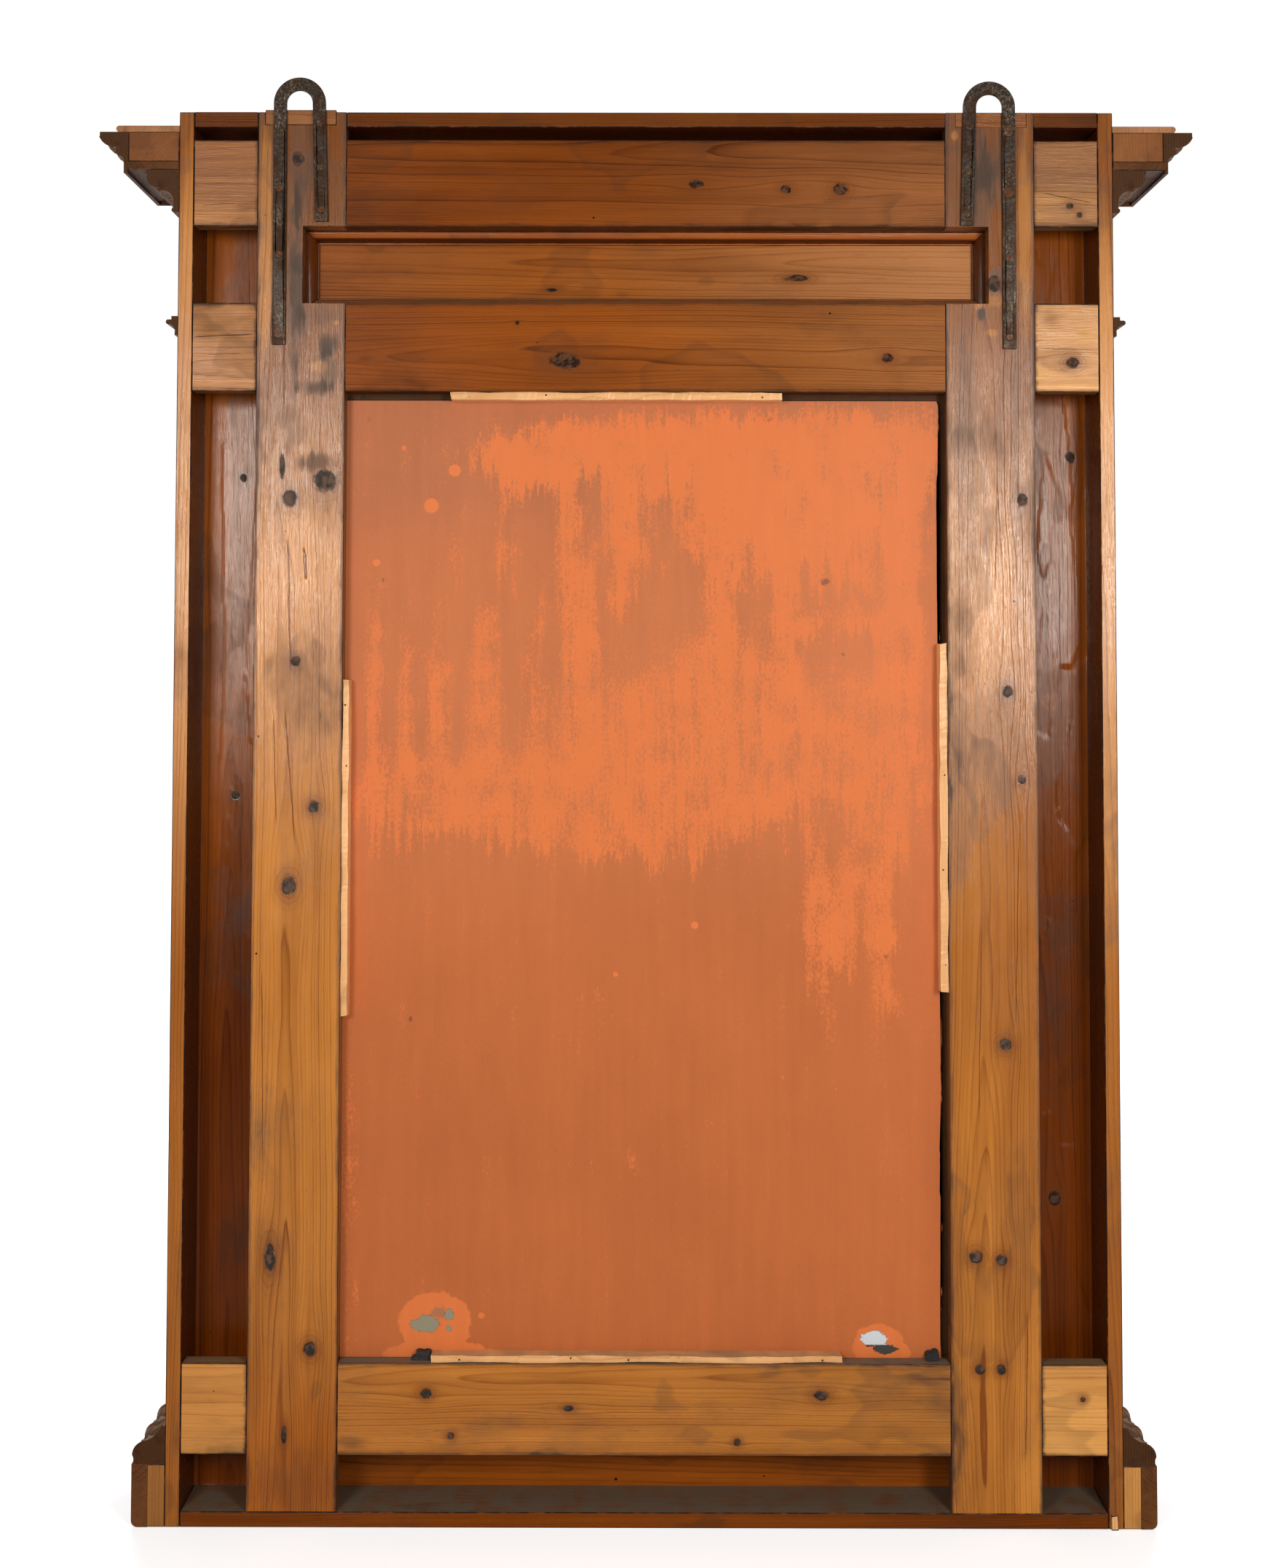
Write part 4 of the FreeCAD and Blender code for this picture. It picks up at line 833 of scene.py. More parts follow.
def pearl(across, up):
    """A string of round beads: full at the middle of each, cut in between."""
    return np.sqrt(np.clip(1 - (across / 0.98) ** 2, 0.0, 1.0)) - 1.0


def tongue(across, up):
    """Rounded tongues with a hollow in each, standing in a cove."""
    edge = smooth(np.abs(across), 0.80, 0.95) * (1 - smooth(up, 0.80, 1.0))
    hollow = 0.45 * (1 - np.abs(across) ** 2) * np.sin(math.pi * np.clip(up, 0, 1))
    return -edge - hollow


def egg(across, up):
    """An egg in its shell, and a dart between each two."""
    high = (up - 0.52) / 0.52
    wide = across / (0.56 * (1 - 0.22 * high))
    round_ = np.sqrt(np.clip(1 - wide ** 2 - high ** 2 * 0.92, 0.0, 1.0))
    far = np.sqrt(wide ** 2 + 0.92 * high ** 2)
    shell = 0.62 * smooth(far, 1.08, 1.18) * (1 - smooth(far, 1.34, 1.46))
    dart = 0.75 * (1 - smooth(np.abs(np.abs(across) - 1.0), 0.02, 0.04 + 0.10 * np.clip(up, 0, 1)))
    return np.maximum(np.maximum(0.25 + 0.75 * round_ * (round_ > 0), shell), dart) * (far < 4) - 1.0


def blade(across, up, lobes, lean):
    """One leaf: lobed edge, middle rib and side veins. The root is at up = 0 and the tip at up = 1."""
    width = 0.93 * np.sqrt(np.clip(1 - ((up - 0.40) / 0.64) ** 2, 0.0, 1.0))
    width = width * (1 + 0.13 * np.cos(2 * math.pi * lobes * up))
    side = np.abs(across)
    inside = 1 - smooth(side, width - 0.10, width + 0.02)
    share = side / np.maximum(width, 0.05)
    body = 0.95 - 0.42 * np.clip(share, 0, 1) ** 2
    rib = 0.30 * np.exp(-(across / 0.085) ** 2) - 0.22 * np.exp(-((side - 0.17) / 0.07) ** 2)
    vein = 0.24 * np.clip(share, 0, 1) * np.cos(2 * math.pi * (lobes * up - lean * side))
    return inside * (body + rib + vein)


def acanthus(across, up):
    """Broad lobed leaves side by side, with a small leaf behind in each gap."""
    front = blade(across, up, 4.0, 1.5)
    behind = 0.55 * blade((np.abs(across) - 1.0) / 0.42, up * 0.92, 3.0, 0.8)
    return np.maximum(front, behind) - 1.0


def leaf(across, up):
    """Plain water leaves with a strong rib, and a tongue in each gap."""
    side = np.abs(across)
    front = blade(across, up, 0.0, 0.0) - 0.10 * np.cos(2 * math.pi * 2.5 * side) * (side < 0.8)
    behind = 0.60 * (1 - smooth(np.abs(side - 1.0), 0.05, 0.16 + 0.22 * up))
    return np.maximum(front, behind) - 1.0


CARVERS = {"pearl": pearl, "tongue": tongue, "egg": egg, "acanthus": acanthus, "leaf": leaf}
CARVED_STEP, PLAIN_STEP = 0.0012, 0.006


def sample_outline(points):
    """Points along an outline with their outward normal, motif and place on the motif, in metres."""
    corners = [Vector((out * MM, up * MM)) for out, up, *_ in points]
    area = sum(a.x * b.y - b.x * a.y for a, b in zip(corners, corners[1:] + corners[:1]))
    samples = []
    for index, (_, _, bulge, motif, start, end) in enumerate(points):
        a, b = corners[index], corners[(index + 1) % len(corners)]
        chord = b - a
        step = CARVED_STEP if motif else PLAIN_STEP
        count = max(8 if bulge else 1, math.ceil(chord.length * (1 + abs(bulge) ** 2) / step))
        turn = 4 * math.atan(bulge)
        for k in range(count):
            share = k / count
            if bulge:
                radius = chord.length / (2 * math.sin(turn / 2))
                left = Vector((-chord.y, chord.x)).normalized()
                centre = (a + b) / 2 - left * radius * math.cos(turn / 2)
                spoke = Matrix.Rotation(-turn * share, 2) @ (a - centre)
                place = centre + spoke
                normal = spoke.normalized() * math.copysign(1, bulge)
                normal = -normal if area > 0 else normal
            else:
                place = a + chord * share
                normal = Vector((chord.y, -chord.x)).normalized() * math.copysign(1, area)
            samples.append((place.x, place.y, normal.x, normal.y, motif, start + (end - start) * share))
    return samples


def add_piece(name, mesh, slot, *nodes):
    """A mesh as a piece of the one body, in place of the nodes. The slot is not used."""
    piece = bpy.data.objects.new(name, mesh)
    bpy.context.collection.objects.link(piece)
    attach(piece, "root")
    if nodes:
        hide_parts(*nodes)
    return piece


def mesh_of(name, built, *looks):
    """A mesh with its faces turned outward and its looks, from a bmesh that is used up."""
    bmesh.ops.recalc_face_normals(built, faces=built.faces)
    mesh = bpy.data.meshes.new(name)
    built.to_mesh(mesh)
    built.free()
    for look in looks:
        mesh.materials.append(look)
    return mesh


SHARP_ANGLE = math.radians(38)


def smoothed(mesh):
    mesh.polygons.foreach_set("use_smooth", [True] * len(mesh.polygons))
    mesh.set_sharp_from_angle(angle=SHARP_ANGLE)


def walls(built, front, back):
    """Faces between two rims with as many points each."""
    made = []
    for k in range(len(front)):
        n = (k + 1) % len(front)
        made.append(built.faces.new((front[n], front[k], back[k], back[n])))
    return made


def sweep(name, kind, node, place, span, finish, step=0.0020):
    """A moulding: its outline swept from span(out)[0] to span(out)[1] and carved, with both ends closed."""
    samples = sample_outline(OUTLINES[kind])
    out, up, out_normal, up_normal = (np.array([s[i] for s in samples])[:, None] for i in range(4))
    height = np.array([s[5] for s in samples])[:, None]
    motifs = np.array([s[4] or "" for s in samples])
    start, end = span(out)
    count = int(np.ceil(np.max(np.abs(end - start)) / step)) + 1
    share = np.linspace(0.0, 1.0, count)[None, :]
    along = start + (end - start) * share
    relief = np.zeros(along.shape)
    for motif, (width, depth) in MOTIFS[kind].items():
        rows = motifs == motif
        across = ((along[rows] / width + 0.5) % 1.0) * 2 - 1
        relief[rows] = CARVERS[motif](across, height[rows]) * depth
    out = out + out_normal * relief
    up = up + up_normal * relief
    start, end = span(out)
    along = start + (end - start) * share
    index = np.arange(along.size).reshape(along.shape)
    following = np.roll(index, -1, axis=0)
    corners = index[:, :-1], index[:, 1:], following[:, 1:], following[:, :-1]
    quads = np.stack(corners, axis=-1).reshape(-1, 4)
    caps = [list(map(int, index[:, 0])), list(map(int, index[::-1, -1]))]
    draft = bpy.data.meshes.new(f"{name} draft")
    draft.from_pydata(place(along, out, up).reshape(-1, 3), [], quads.tolist() + caps)
    cut = draft.attributes.new("relief", "FLOAT", "POINT")
    deepest = max(depth for _, depth in MOTIFS[kind].values())
    cut.data.foreach_set("value", (relief / deepest).astype(np.float32).ravel())
    built = bmesh.new()
    built.from_mesh(draft)
    bmesh.ops.triangulate(built, faces=[face for face in built.faces if len(face.verts) > 4])
    mesh = mesh_of(name, built, finish)
    bpy.data.meshes.remove(draft)
    smoothed(mesh)
    add_piece(name, mesh, "stained_moulding", node)


SAWN_END = (0.42, 0.42, 0.42)
STAIN_LIGHT, STAIN_DARK = (0.205, 0.080, 0.026), (0.075, 0.024, 0.008)
CUT_DIRT_AND_SHADE, STAIN_BLOTCH = (0.020, 0.009, 0.005), (0.022, 0.009, 0.005)
STAIN_RING, STAIN_WANDER, STAIN_HARD, STAIN_FIBRE = 0.0042, 0.010, 0.55, 0.9
STAIN_RINGS = ((0.0, 0.1), (0.6, 0.35), (0.9, 1.0), (1.0, 0.1))
STAIN_NOISES = ((12, 3, 12),), ((700, 20, 700), 3.0, 0.65), ((45, 45, 45), 6.0, 0.70)
# Dirt and painted shade in the cuts, dirt in blotches, then how far a face looks backward to be sawn, or
# upward to be dusty.
CUT_FRAY, CUT_FADE, BLOTCH_FADE = 0.5, (-0.85, -0.20, 0.85, 0.0), (0.50, 0.72, 0.0, 0.45)
SAWN_SLOPE, SETTLED_SLOPE, SETTLED_DUST = (0.80, 0.95), (0.6, 0.95), 0.35
STAIN_ROUGH, CUT_ROUGH, STAIN_UNEVEN = 0.44, 0.3, 0.3
STAIN_HEIGHT, STAIN_RELIEF = 0.4, 0.0004


def stained(name, grain, seed, pith):
    """Dark stained wood of the mouldings: dirt and painted shade in the cuts, worn brown on the high places.
    """
    finish = Finish(name, Specular_IOR_Level=0.10)
    across, along, depth = (finish.place[axis] for axis in BOARD_AXES[grain])
    board = finish.vector("ADD", finish.join(across, along, depth), (seed, seed, seed))
    wander, fibre, blotch = finish.noises(board, *STAIN_NOISES)
    radius = finish.vector("LENGTH", finish.join(across - pith[0], depth - pith[1], 0.0))
    years = (radius + finish.scaled(wander, STAIN_WANDER)) / STAIN_RING
    hard = finish.ramp(finish.math("FRACT", years), *STAIN_RINGS)
    tone = hard * STAIN_HARD + finish.scaled(fibre, STAIN_FIBRE)
    tone = finish.math("MAXIMUM", tone, 0.0, clamp=True)
    colour = finish.mix(tone, STAIN_LIGHT, STAIN_DARK)
    cut = finish.field("ShaderNodeAttribute", "Fac", attribute_name="relief")
    # Painted shade and dirt: the colour darkens where the carving cuts deep.
    deep = finish.spread(cut + finish.scaled(blotch, CUT_FRAY), *CUT_FADE)
    colour = finish.mix(deep, colour, CUT_DIRT_AND_SHADE)
    colour = finish.mix(finish.spread(blotch, *BLOTCH_FADE), colour, STAIN_BLOTCH)
    _, backward, upward = finish.parts(finish.normal)
    colour = finish.tinted(finish.spread(backward, *SAWN_SLOPE), colour, SAWN_END)
    colour = finish.mix(finish.spread(upward, *SETTLED_SLOPE) * SETTLED_DUST, colour, DUST)
    rough = deep * CUT_ROUGH + STAIN_ROUGH + finish.scaled(blotch, STAIN_UNEVEN)
    return finish.done(colour, rough, fibre + hard * STAIN_HEIGHT, STAIN_RELIEF)


def front_run(along, out, up):
    return np.stack([along, FRONT_PLANE - out, np.broadcast_to(up, along.shape)], axis=-1)


def side_run(sign):
    def place(along, out, up):
        level = np.broadcast_to(up, along.shape)
        return np.stack([sign * (SIDE_OUTER + out), BACK_PLANE - along, level], axis=-1)
    return place


def front_span(out):
    return -(SIDE_OUTER + out), SIDE_OUTER + out


def side_span(out):
    return 0.0 * out, BACK_PLANE - FRONT_PLANE + out


for kind in ("crown", "bed", "string", "base"):
    middle = np.mean([point[1] for point in OUTLINES[kind]]) * MM
    front = stained(f"{kind} front", "X", 2.0, (1.90, 0.05))
    returned = stained(f"{kind} return", "Y", 5.0, (middle - 0.03, 0.66))
    runs = (("front", front_run, front_span, front), ("left", side_run(-1), side_span, returned),
            ("right", side_run(1), side_span, returned))
    for side, place, span, finish in runs:
        sweep(f"carved_{kind}_{side}", kind, f"{kind}_moulding_{side}", place, span, finish)

# Half width, lower edge and upper edge of the opening inside the sight mouldings.
SIGHT_HALF = 0.425
SIGHT_LOW, SIGHT_HIGH = 0.245, 1.614
SIGHT_MIDDLE = (SIGHT_LOW + SIGHT_HIGH) / 2
SIGHT_STEP = 0.0026


def sight_run(side):
    def place(along, out, up):
        y = np.broadcast_to(BACK_PLANE - up, along.shape)
        if side in ("top", "bottom"):
            z = SIGHT_HIGH + out if side == "top" else SIGHT_LOW - out
            return np.stack([along, y, z], axis=-1)
        x = SIGHT_HALF + out if side == "right" else -SIGHT_HALF - out
        return np.stack([x, y, SIGHT_MIDDLE + along], axis=-1)
    return place


def sight_span(side):
    half = SIGHT_HALF if side in ("top", "bottom") else (SIGHT_HIGH - SIGHT_LOW) / 2
    return lambda out: (-(half + out), half + out)


for side, grain in (("top", "X"), ("bottom", "X"), ("left", "Z"), ("right", "Z")):
    finish = stained(f"sight {side}", grain, 8.0, (0.4, 0.2))
    sweep(f"carved_sight_{side}", "sight", f"sight_moulding_{side}", sight_run(side), sight_span(side),
          finish, SIGHT_STEP)


# Stations up the chipped edge, the window and margin of its smoothing, and how the smoothed noise cuts it.
RIM_STATIONS, RIM_WINDOW, RIM_MARGIN, RIM_SEED = 240, 9, 10, 4
RIM_START, RIM_SPAN, RIM_DEEP, RIM_FINE = 0.42, 0.2, 0.0035, 0.0012


def plate():
    """The plate, with a chipped edge on one side."""
    looks = silvered_face(), glass_edge(), painted_back()
    draw = np.random.default_rng(RIM_SEED)
    low, high = PLATE_LOW, PLATE_HIGH
    heights = np.linspace(low.z, high.z, RIM_STATIONS)
    coarse = draw.random(RIM_STATIONS + 2 * RIM_MARGIN)
    coarse = np.convolve(coarse, np.ones(RIM_WINDOW) / RIM_WINDOW, "same")[RIM_MARGIN:-RIM_MARGIN]
    chips = RIM_DEEP * np.clip((coarse - RIM_START) / RIM_SPAN, 0, 1) + RIM_FINE * draw.random(RIM_STATIONS)
    rim = [(low.x + chip, z) for chip, z in zip(chips, heights)]
    rim += [(high.x, high.z), (high.x, low.z)]
    built = bmesh.new()
    front = [built.verts.new((x, low.y, z)) for x, z in rim]
    back = [built.verts.new((x, high.y, z)) for x, z in rim]
    ends = [built.faces.new(front), built.faces.new(back[::-1])]
    for face in walls(built, front, back):
        face.material_index = 1
    ends[1].material_index = 2
    bmesh.ops.triangulate(built, faces=ends)
    add_piece("painted_plate", mesh_of("painted_plate", built, *looks), "mirror_plate", "mirror_plate")


plate()


# Boards with a worked face: pilasters hewn behind and fluted before, and the frieze panel with its guilloche.
HEWN_GRID, HEWN_DEPTHS, HEWN_DEEPEST = (54, 480), (0.0003, 0.0012), 0.0028


def hewn(low, high, cell, tilt, seed):
    """Grid and cut depth of a back left rough from the adze, each shallow facet the stroke of a tool."""
    draw = np.random.default_rng(seed)
    x, z = np.meshgrid(np.linspace(low.x, high.x, HEWN_GRID[0]), np.linspace(low.z, high.z, HEWN_GRID[1]))
    count = int((high.x - low.x) * (high.z - low.z) / (cell[0] * cell[1]))
    centres = np.stack([draw.uniform(low.x, high.x, count), draw.uniform(low.z, high.z, count)], axis=1)
    slopes = draw.normal(0.0, 1.0, (count, 2)) * tilt
    depths = draw.uniform(*HEWN_DEPTHS, count)
    offsets = (x.ravel()[:, None] - centres[None, :, 0], z.ravel()[:, None] - centres[None, :, 1])
    nearest = ((offsets[0] / cell[0]) ** 2 + (offsets[1] / cell[1]) ** 2).argmin(axis=1)
    stroke = np.arange(nearest.size)
    cut = depths[nearest] + slopes[nearest, 0] * offsets[0][stroke, nearest]
    cut = cut + slopes[nearest, 1] * offsets[1][stroke, nearest]
    return x, z, np.clip(cut, 0.0, HEWN_DEEPEST).reshape(x.shape)


FLUTE_COUNT, FLUTE_PITCH, FLUTE_HALF, FLUTE_DEPTH = 5, 0.0262, 0.0092, 0.0055
FLUTE_LOW, FLUTE_HIGH = 0.222, 1.625
# Rosettes: height of the middle, radius and relief.
ROSETTES = ((1.815, 0.048, 0.0085), (1.672, 0.025, 0.0060), (0.181, 0.025, 0.0060))
# Grid of the carved places, how far these reach, and the rows of the plain length.
CARVED_GRID, ROSETTE_REACH, FLUTE_END, PLAIN_ROWS = 0.0016, 1.45, 0.014, 80


def rosette(across, up):
    """Eight petals round a boss, in a ring, from 0 on the ground to 1. The petals reach to a radius of 1."""
    far = np.hypot(across, up)
    petal = np.abs(np.cos(4 * np.arctan2(up, across)))
    inside = 1 - smooth(far, 0.72 + 0.20 * petal, 0.82 + 0.20 * petal)
    bowl = np.sin(math.pi * np.clip((far - 0.22) / 0.85, 0, 1))
    body = inside * (0.25 + 0.55 * (0.35 + 0.65 * petal) * bowl)
    boss = 0.9 * np.sqrt(np.clip(1 - (far / 0.25) ** 2, 0, 1))
    ring = 0.55 * np.exp(-((far - 1.20) / 0.07) ** 2)
    return np.maximum(np.maximum(body, boss), ring)


def fluted(low, high):
    """Grid and cut depth of a pilaster's front: flutes with round ends, and rosettes above and below."""
    bands = [(z - ROSETTE_REACH * radius, z + ROSETTE_REACH * radius) for z, radius, _ in ROSETTES]
    bands += [(end - FLUTE_END, end + FLUTE_END) for end in (FLUTE_LOW, FLUTE_HIGH)]
    fine = [np.arange(start, stop, CARVED_GRID) for start, stop in bands]
    heights = np.unique(np.concatenate([np.linspace(low.z, high.z, PLAIN_ROWS), *fine]))
    columns = int((high.x - low.x) / CARVED_GRID)
    x, z = np.meshgrid(np.linspace(low.x, high.x, columns), heights)
    middle = (low.x + high.x) / 2
    cut = np.zeros(x.shape)
    half = (FLUTE_HIGH - FLUTE_LOW) / 2 - FLUTE_HALF
    beyond = np.maximum(np.abs(z - (FLUTE_LOW + FLUTE_HIGH) / 2) - half, 0.0)
    for k in range(FLUTE_COUNT):
        aside = x - middle - (k - (FLUTE_COUNT - 1) / 2) * FLUTE_PITCH
        far = np.hypot(aside, beyond) / FLUTE_HALF
        cut = np.maximum(cut, FLUTE_DEPTH * np.sqrt(np.clip(1 - far ** 2, 0, 1)))
    for height, radius, depth in ROSETTES:
        cut = cut - depth * rosette((x - middle) / radius, (z - height) / radius)
    return x, z, cut


GUILLOCHE_PITCH, GUILLOCHE_RADIUS, GUILLOCHE_BAND = 0.0440, 0.0265, 0.0048
GUILLOCHE_EYE, GUILLOCHE_DEPTH, GUILLOCHE_EDGE = 0.0135, 0.0050, 0.002


def guilloche(low, high):
    """Grid and cut depth of the frieze: a chain of interlaced rings with a small rosette in each eye."""
    x, z = np.meshgrid(np.arange(low.x, high.x + CARVED_GRID / 2, CARVED_GRID),
                       np.arange(low.z, high.z + CARVED_GRID / 2, CARVED_GRID))
    x, z = np.minimum(x, high.x), np.minimum(z, high.z)
    up = z - (low.z + high.z) / 2
    link = np.floor(x / GUILLOCHE_PITCH)
    raised = np.zeros(x.shape)
    for step in (-1, 0, 1, 2):
        centre = (link + step) * GUILLOCHE_PITCH
        off = (np.hypot(x - centre, up) - GUILLOCHE_RADIUS) / GUILLOCHE_BAND
        over = 0.82 + 0.18 * np.sign(up) * np.sign(x - centre)
        raised = np.maximum(raised, over * np.sqrt(np.clip(1 - off ** 2, 0, 1)))
        raised = np.maximum(raised, 0.9 * rosette((x - centre) / GUILLOCHE_EYE, up / GUILLOCHE_EYE))
    ends = smooth(np.abs(np.abs(x) - high.x), 0.0, GUILLOCHE_EDGE)
    ends = ends * smooth(np.abs(np.abs(up) - up.max()), 0.0, GUILLOCHE_EDGE)
    return x, z, GUILLOCHE_DEPTH * (1 - raised) * ends


# The depth of cut that the finish takes as 1.
RELIEF_UNIT = 0.005


def worked_board(node, name, looks, back, front):
    """The node's box with a worked back and front, each a grid of x, z and the depth cut from the face."""
    low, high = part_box(node)
    points, faces, slots, depths = [], [], [], []
    for level, inward, look, (x, z, cut) in ((high.y, -1, 0, back), (low.y, 1, 1, front)):
        edge = np.zeros(cut.shape)
        edge[1:-1, 1:-1] = cut[1:-1, 1:-1]
        index = len(points) + np.arange(cut.size).reshape(cut.shape)
        corners = index[:-1, :-1], index[1:, :-1], index[1:, 1:], index[:-1, 1:]
        quads = np.stack(corners, axis=-1).reshape(-1, 4)
        points += np.stack([x, level + inward * edge, z], axis=-1).reshape(-1, 3).tolist()
        faces += (quads if inward < 0 else quads[:, ::-1]).tolist()
        slots += [look] * len(quads)
        depths += (-edge / RELIEF_UNIT).ravel().tolist()
    first = len(points)
    points += [(x, y, z) for z in (low.z, high.z) for y in (low.y, high.y) for x in (low.x, high.x)]
    sides = ((0, 4, 6, 2), (1, 3, 7, 5), (0, 2, 3, 1), (4, 5, 7, 6))
    faces += [[first + corner for corner in side] for side in sides]
    slots += [0] * len(sides)
    depths += [0.0] * 8
    mesh = bpy.data.meshes.new(name)
    mesh.from_pydata(points, [], faces)
    mesh.attributes.new("relief", "FLOAT", "POINT").data.foreach_set("value", depths)
    mesh.polygons.foreach_set("material_index", slots)
    smoothed(mesh)
    for look in looks:
        mesh.materials.append(look)
    add_piece(name, mesh, "front_wood", node)


def flat(low, high):
    x, z = np.meshgrid((low.x, high.x), (low.z, high.z))
    return x, z, np.zeros(x.shape)


for node, cell, tilt, seed in (
    ("pilaster_board_left", (0.030, 0.150), (0.022, 0.004), 7),
    ("pilaster_board_right", (0.022, 0.300), (0.014, 0.001), 8),
):
    low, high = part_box(node)
    looks = board_finish(node), stained(f"{node} front", "Z", seed, (0.5, 0.1))
    worked_board(node, f"hewn_{node}", looks, hewn(low, high, cell, tilt, seed), fluted(low, high))

low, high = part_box("frieze_panel")
looks = (board_finish("frieze_panel", ((0, high.x), (2, low.z), (2, high.z))),
         stained("frieze front", "X", 11.0, (1.80, 0.1)))
worked_board("frieze_panel", "carved_frieze_panel", looks, flat(low, high), guilloche(low, high))

# The glazing strips are rough split slips, held by brads.
SLIP_STATIONS, SLIP_WINDOW, SLIP_MARGIN = 110, 17, 15
SLIP_ROUGH, SLIP_BASE, SLIP_COARSE, SLIP_FINE = 0.0022, 0.35, 0.16, 0.08
SLIP_BITE, SLIP_SHAVE, SLIP_END, SLIP_SEED = 0.6, 1.6, 0.003, 21
# Corners of a slip: its side, whether it is at the back, and the noises that cut it across and in depth.
SLIP_CORNERS = ((0, 0, None, None), (1, 0, None, None), (1, 1, 0, 1), (0, 1, 2, 3))


def slip_axes(low, high):
    """The axis along a slip and the one across it."""
    return (0, 2) if high.x - low.x > high.z - low.z else (2, 0)


def split_slip(node, finish, seed):
    """The node's box with its two open edges split off unevenly along the grain."""
    low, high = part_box(node)
    along, cross = slip_axes(low, high)
    draw = np.random.default_rng(seed)
    rough = []
    for _ in range(4):
        coarse = draw.normal(0, 1, SLIP_STATIONS + 2 * SLIP_MARGIN)
        coarse = np.convolve(coarse, np.hanning(SLIP_WINDOW), "same")[SLIP_MARGIN:-SLIP_MARGIN]
        fine = draw.normal(0, 1, SLIP_STATIONS)
        rough.append(SLIP_ROUGH * np.clip(SLIP_BASE + SLIP_COARSE * coarse + SLIP_FINE * fine, 0, 1))
    built = bmesh.new()
    rings = []
    for k, station in enumerate(np.linspace(low[along], high[along], SLIP_STATIONS)):
        ring = []
        for share, back, bite, shave in SLIP_CORNERS:
            spot = [0.0, high.y if back else low.y, 0.0]
            spot[along] = station
            spot[cross] = low[cross] + share * (high[cross] - low[cross])
            if bite is not None:
                spot[cross] += SLIP_BITE * (1 - 2 * share) * rough[bite][k]
                spot[1] -= SLIP_SHAVE * rough[shave][k]
            if k in (0, SLIP_STATIONS - 1):
                spot[along] += draw.uniform(0, SLIP_END) * (1 if k == 0 else -1)
            ring.append(built.verts.new(spot))
        rings.append(ring)
    for first, second in zip(rings, rings[1:]):
        walls(built, second, first)
    built.faces.new(rings[0][::-1])
    built.faces.new(rings[-1])
    add_piece(f"split_{node}", mesh_of(f"split_{node}", built, finish), "fresh_pine", node)


BRAD_RADIUS, BRAD_SINK, BRAD_ROWS = 0.0014, 0.0022, (0.38, 0.62)
# Places of the brads along each slip, as shares of its length.
BRADS = {
    "glazing_strip_top": (0.06, 0.21, 0.48, 0.71, 0.94),
    "glazing_strip_bottom": (0.05, 0.31, 0.52, 0.66, 0.93),
    "glazing_strip_left": (0.08, 0.35, 0.62, 0.90),
    "glazing_strip_right": (0.09, 0.48, 0.74, 0.92),
}


def brads():
    """Domed brad heads on the backs of the slips."""
    built = bmesh.new()
    for node, shares in BRADS.items():
        low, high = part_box(node)
        along, cross = slip_axes(low, high)
        for k, share in enumerate(shares):
            spot = [0.0, high.y - BRAD_SINK, 0.0]
            spot[along] = low[along] + share * (high[along] - low[along])
            spot[cross] = low[cross] + BRAD_ROWS[k % 2] * (high[cross] - low[cross])
            made = bmesh.ops.create_uvsphere(built, u_segments=10, v_segments=6, radius=BRAD_RADIUS)
            bmesh.ops.translate(built, verts=made["verts"], vec=spot)
    mesh = mesh_of("glazing_brads", built, SCREW)
    mesh.polygons.foreach_set("use_smooth", [True] * len(mesh.polygons))
    add_piece("glazing_brads", mesh, "screw_steel")


for seed, node in enumerate(BRADS):
    split_slip(node, board_finish(node), SLIP_SEED + seed)
brads()

# Outlines of the two packing chips on the bottom rail, across and up from the ledge, in millimetres.
CHIPS = {
    0.319: ((-16, 0), (17, 0), (15, 3), (10, 5), (9, 12), (4, 13), (-2, 11.5), (-7, 13), (-12, 12), (-13, 4)),
    -0.414: ((-10, 0), (8, 0), (10, 5), (9, 10), (5, 12.5), (1, 12), (-2, 14.5), (-6, 15), (-9, 13),
             (-11, 7)),
}
CHIP_TAPER, CHIP_WEAR = (0.94, 0.9), 0.0010


def packing_chips():
    """Two torn dark chips between the plate and the bottom rail."""
    low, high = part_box("plate_wedges")
    built = bmesh.new()
    for centre, outline in CHIPS.items():
        front = [built.verts.new((centre + x * MM, low.y, low.z + z * MM)) for x, z in outline]
        back = [built.verts.new((centre + CHIP_TAPER[0] * x * MM, high.y, low.z + CHIP_TAPER[1] * z * MM))
                for x, z in outline]
        built.faces.new(front)
        built.faces.new(back[::-1])
        walls(built, front, back)
    mesh = mesh_of("packing_chips", built, WEDGE)
    piece = add_piece("packing_chips", mesh, "dark_wedge", "plate_wedges")
    bevel = piece.modifiers.new("soft edges", "BEVEL")
    bevel.width = CHIP_WEAR
    bevel.segments = 2


packing_chips()


# CAD boards keep their shape, with worn edges and a finish of their own.
WELD_DISTANCE, BEVEL_ANGLE = 0.00002, math.radians(35)
# A face looks one way when the cosine of the angle between is at least this.
FACING = 0.5


def dress(node, finish, wear, edge=None, outer=None, inward=()):
    """A finish for the node, worn edges, and another finish on the faces that look away from inward."""
    piece = NODES[node]
    piece.data.materials.clear()
    piece.data.materials.append(finish)
    weld = piece.modifiers.new("weld", "WELD")
    weld.merge_threshold = WELD_DISTANCE
    bevel = piece.modifiers.new("worn edges", "BEVEL")
    bevel.width = wear
    bevel.segments = 2
    bevel.limit_method = "ANGLE"
    bevel.angle_limit = BEVEL_ANGLE
    bevel.harden_normals = True
    if edge is not None:
        piece.data.materials.append(edge)
        bevel.material = 1
    if outer is not None:
        piece.data.materials.append(outer)
        for polygon in piece.data.polygons:
            if all(polygon.normal.dot(Vector(way)) < FACING for way in inward):
                polygon.material_index = 2


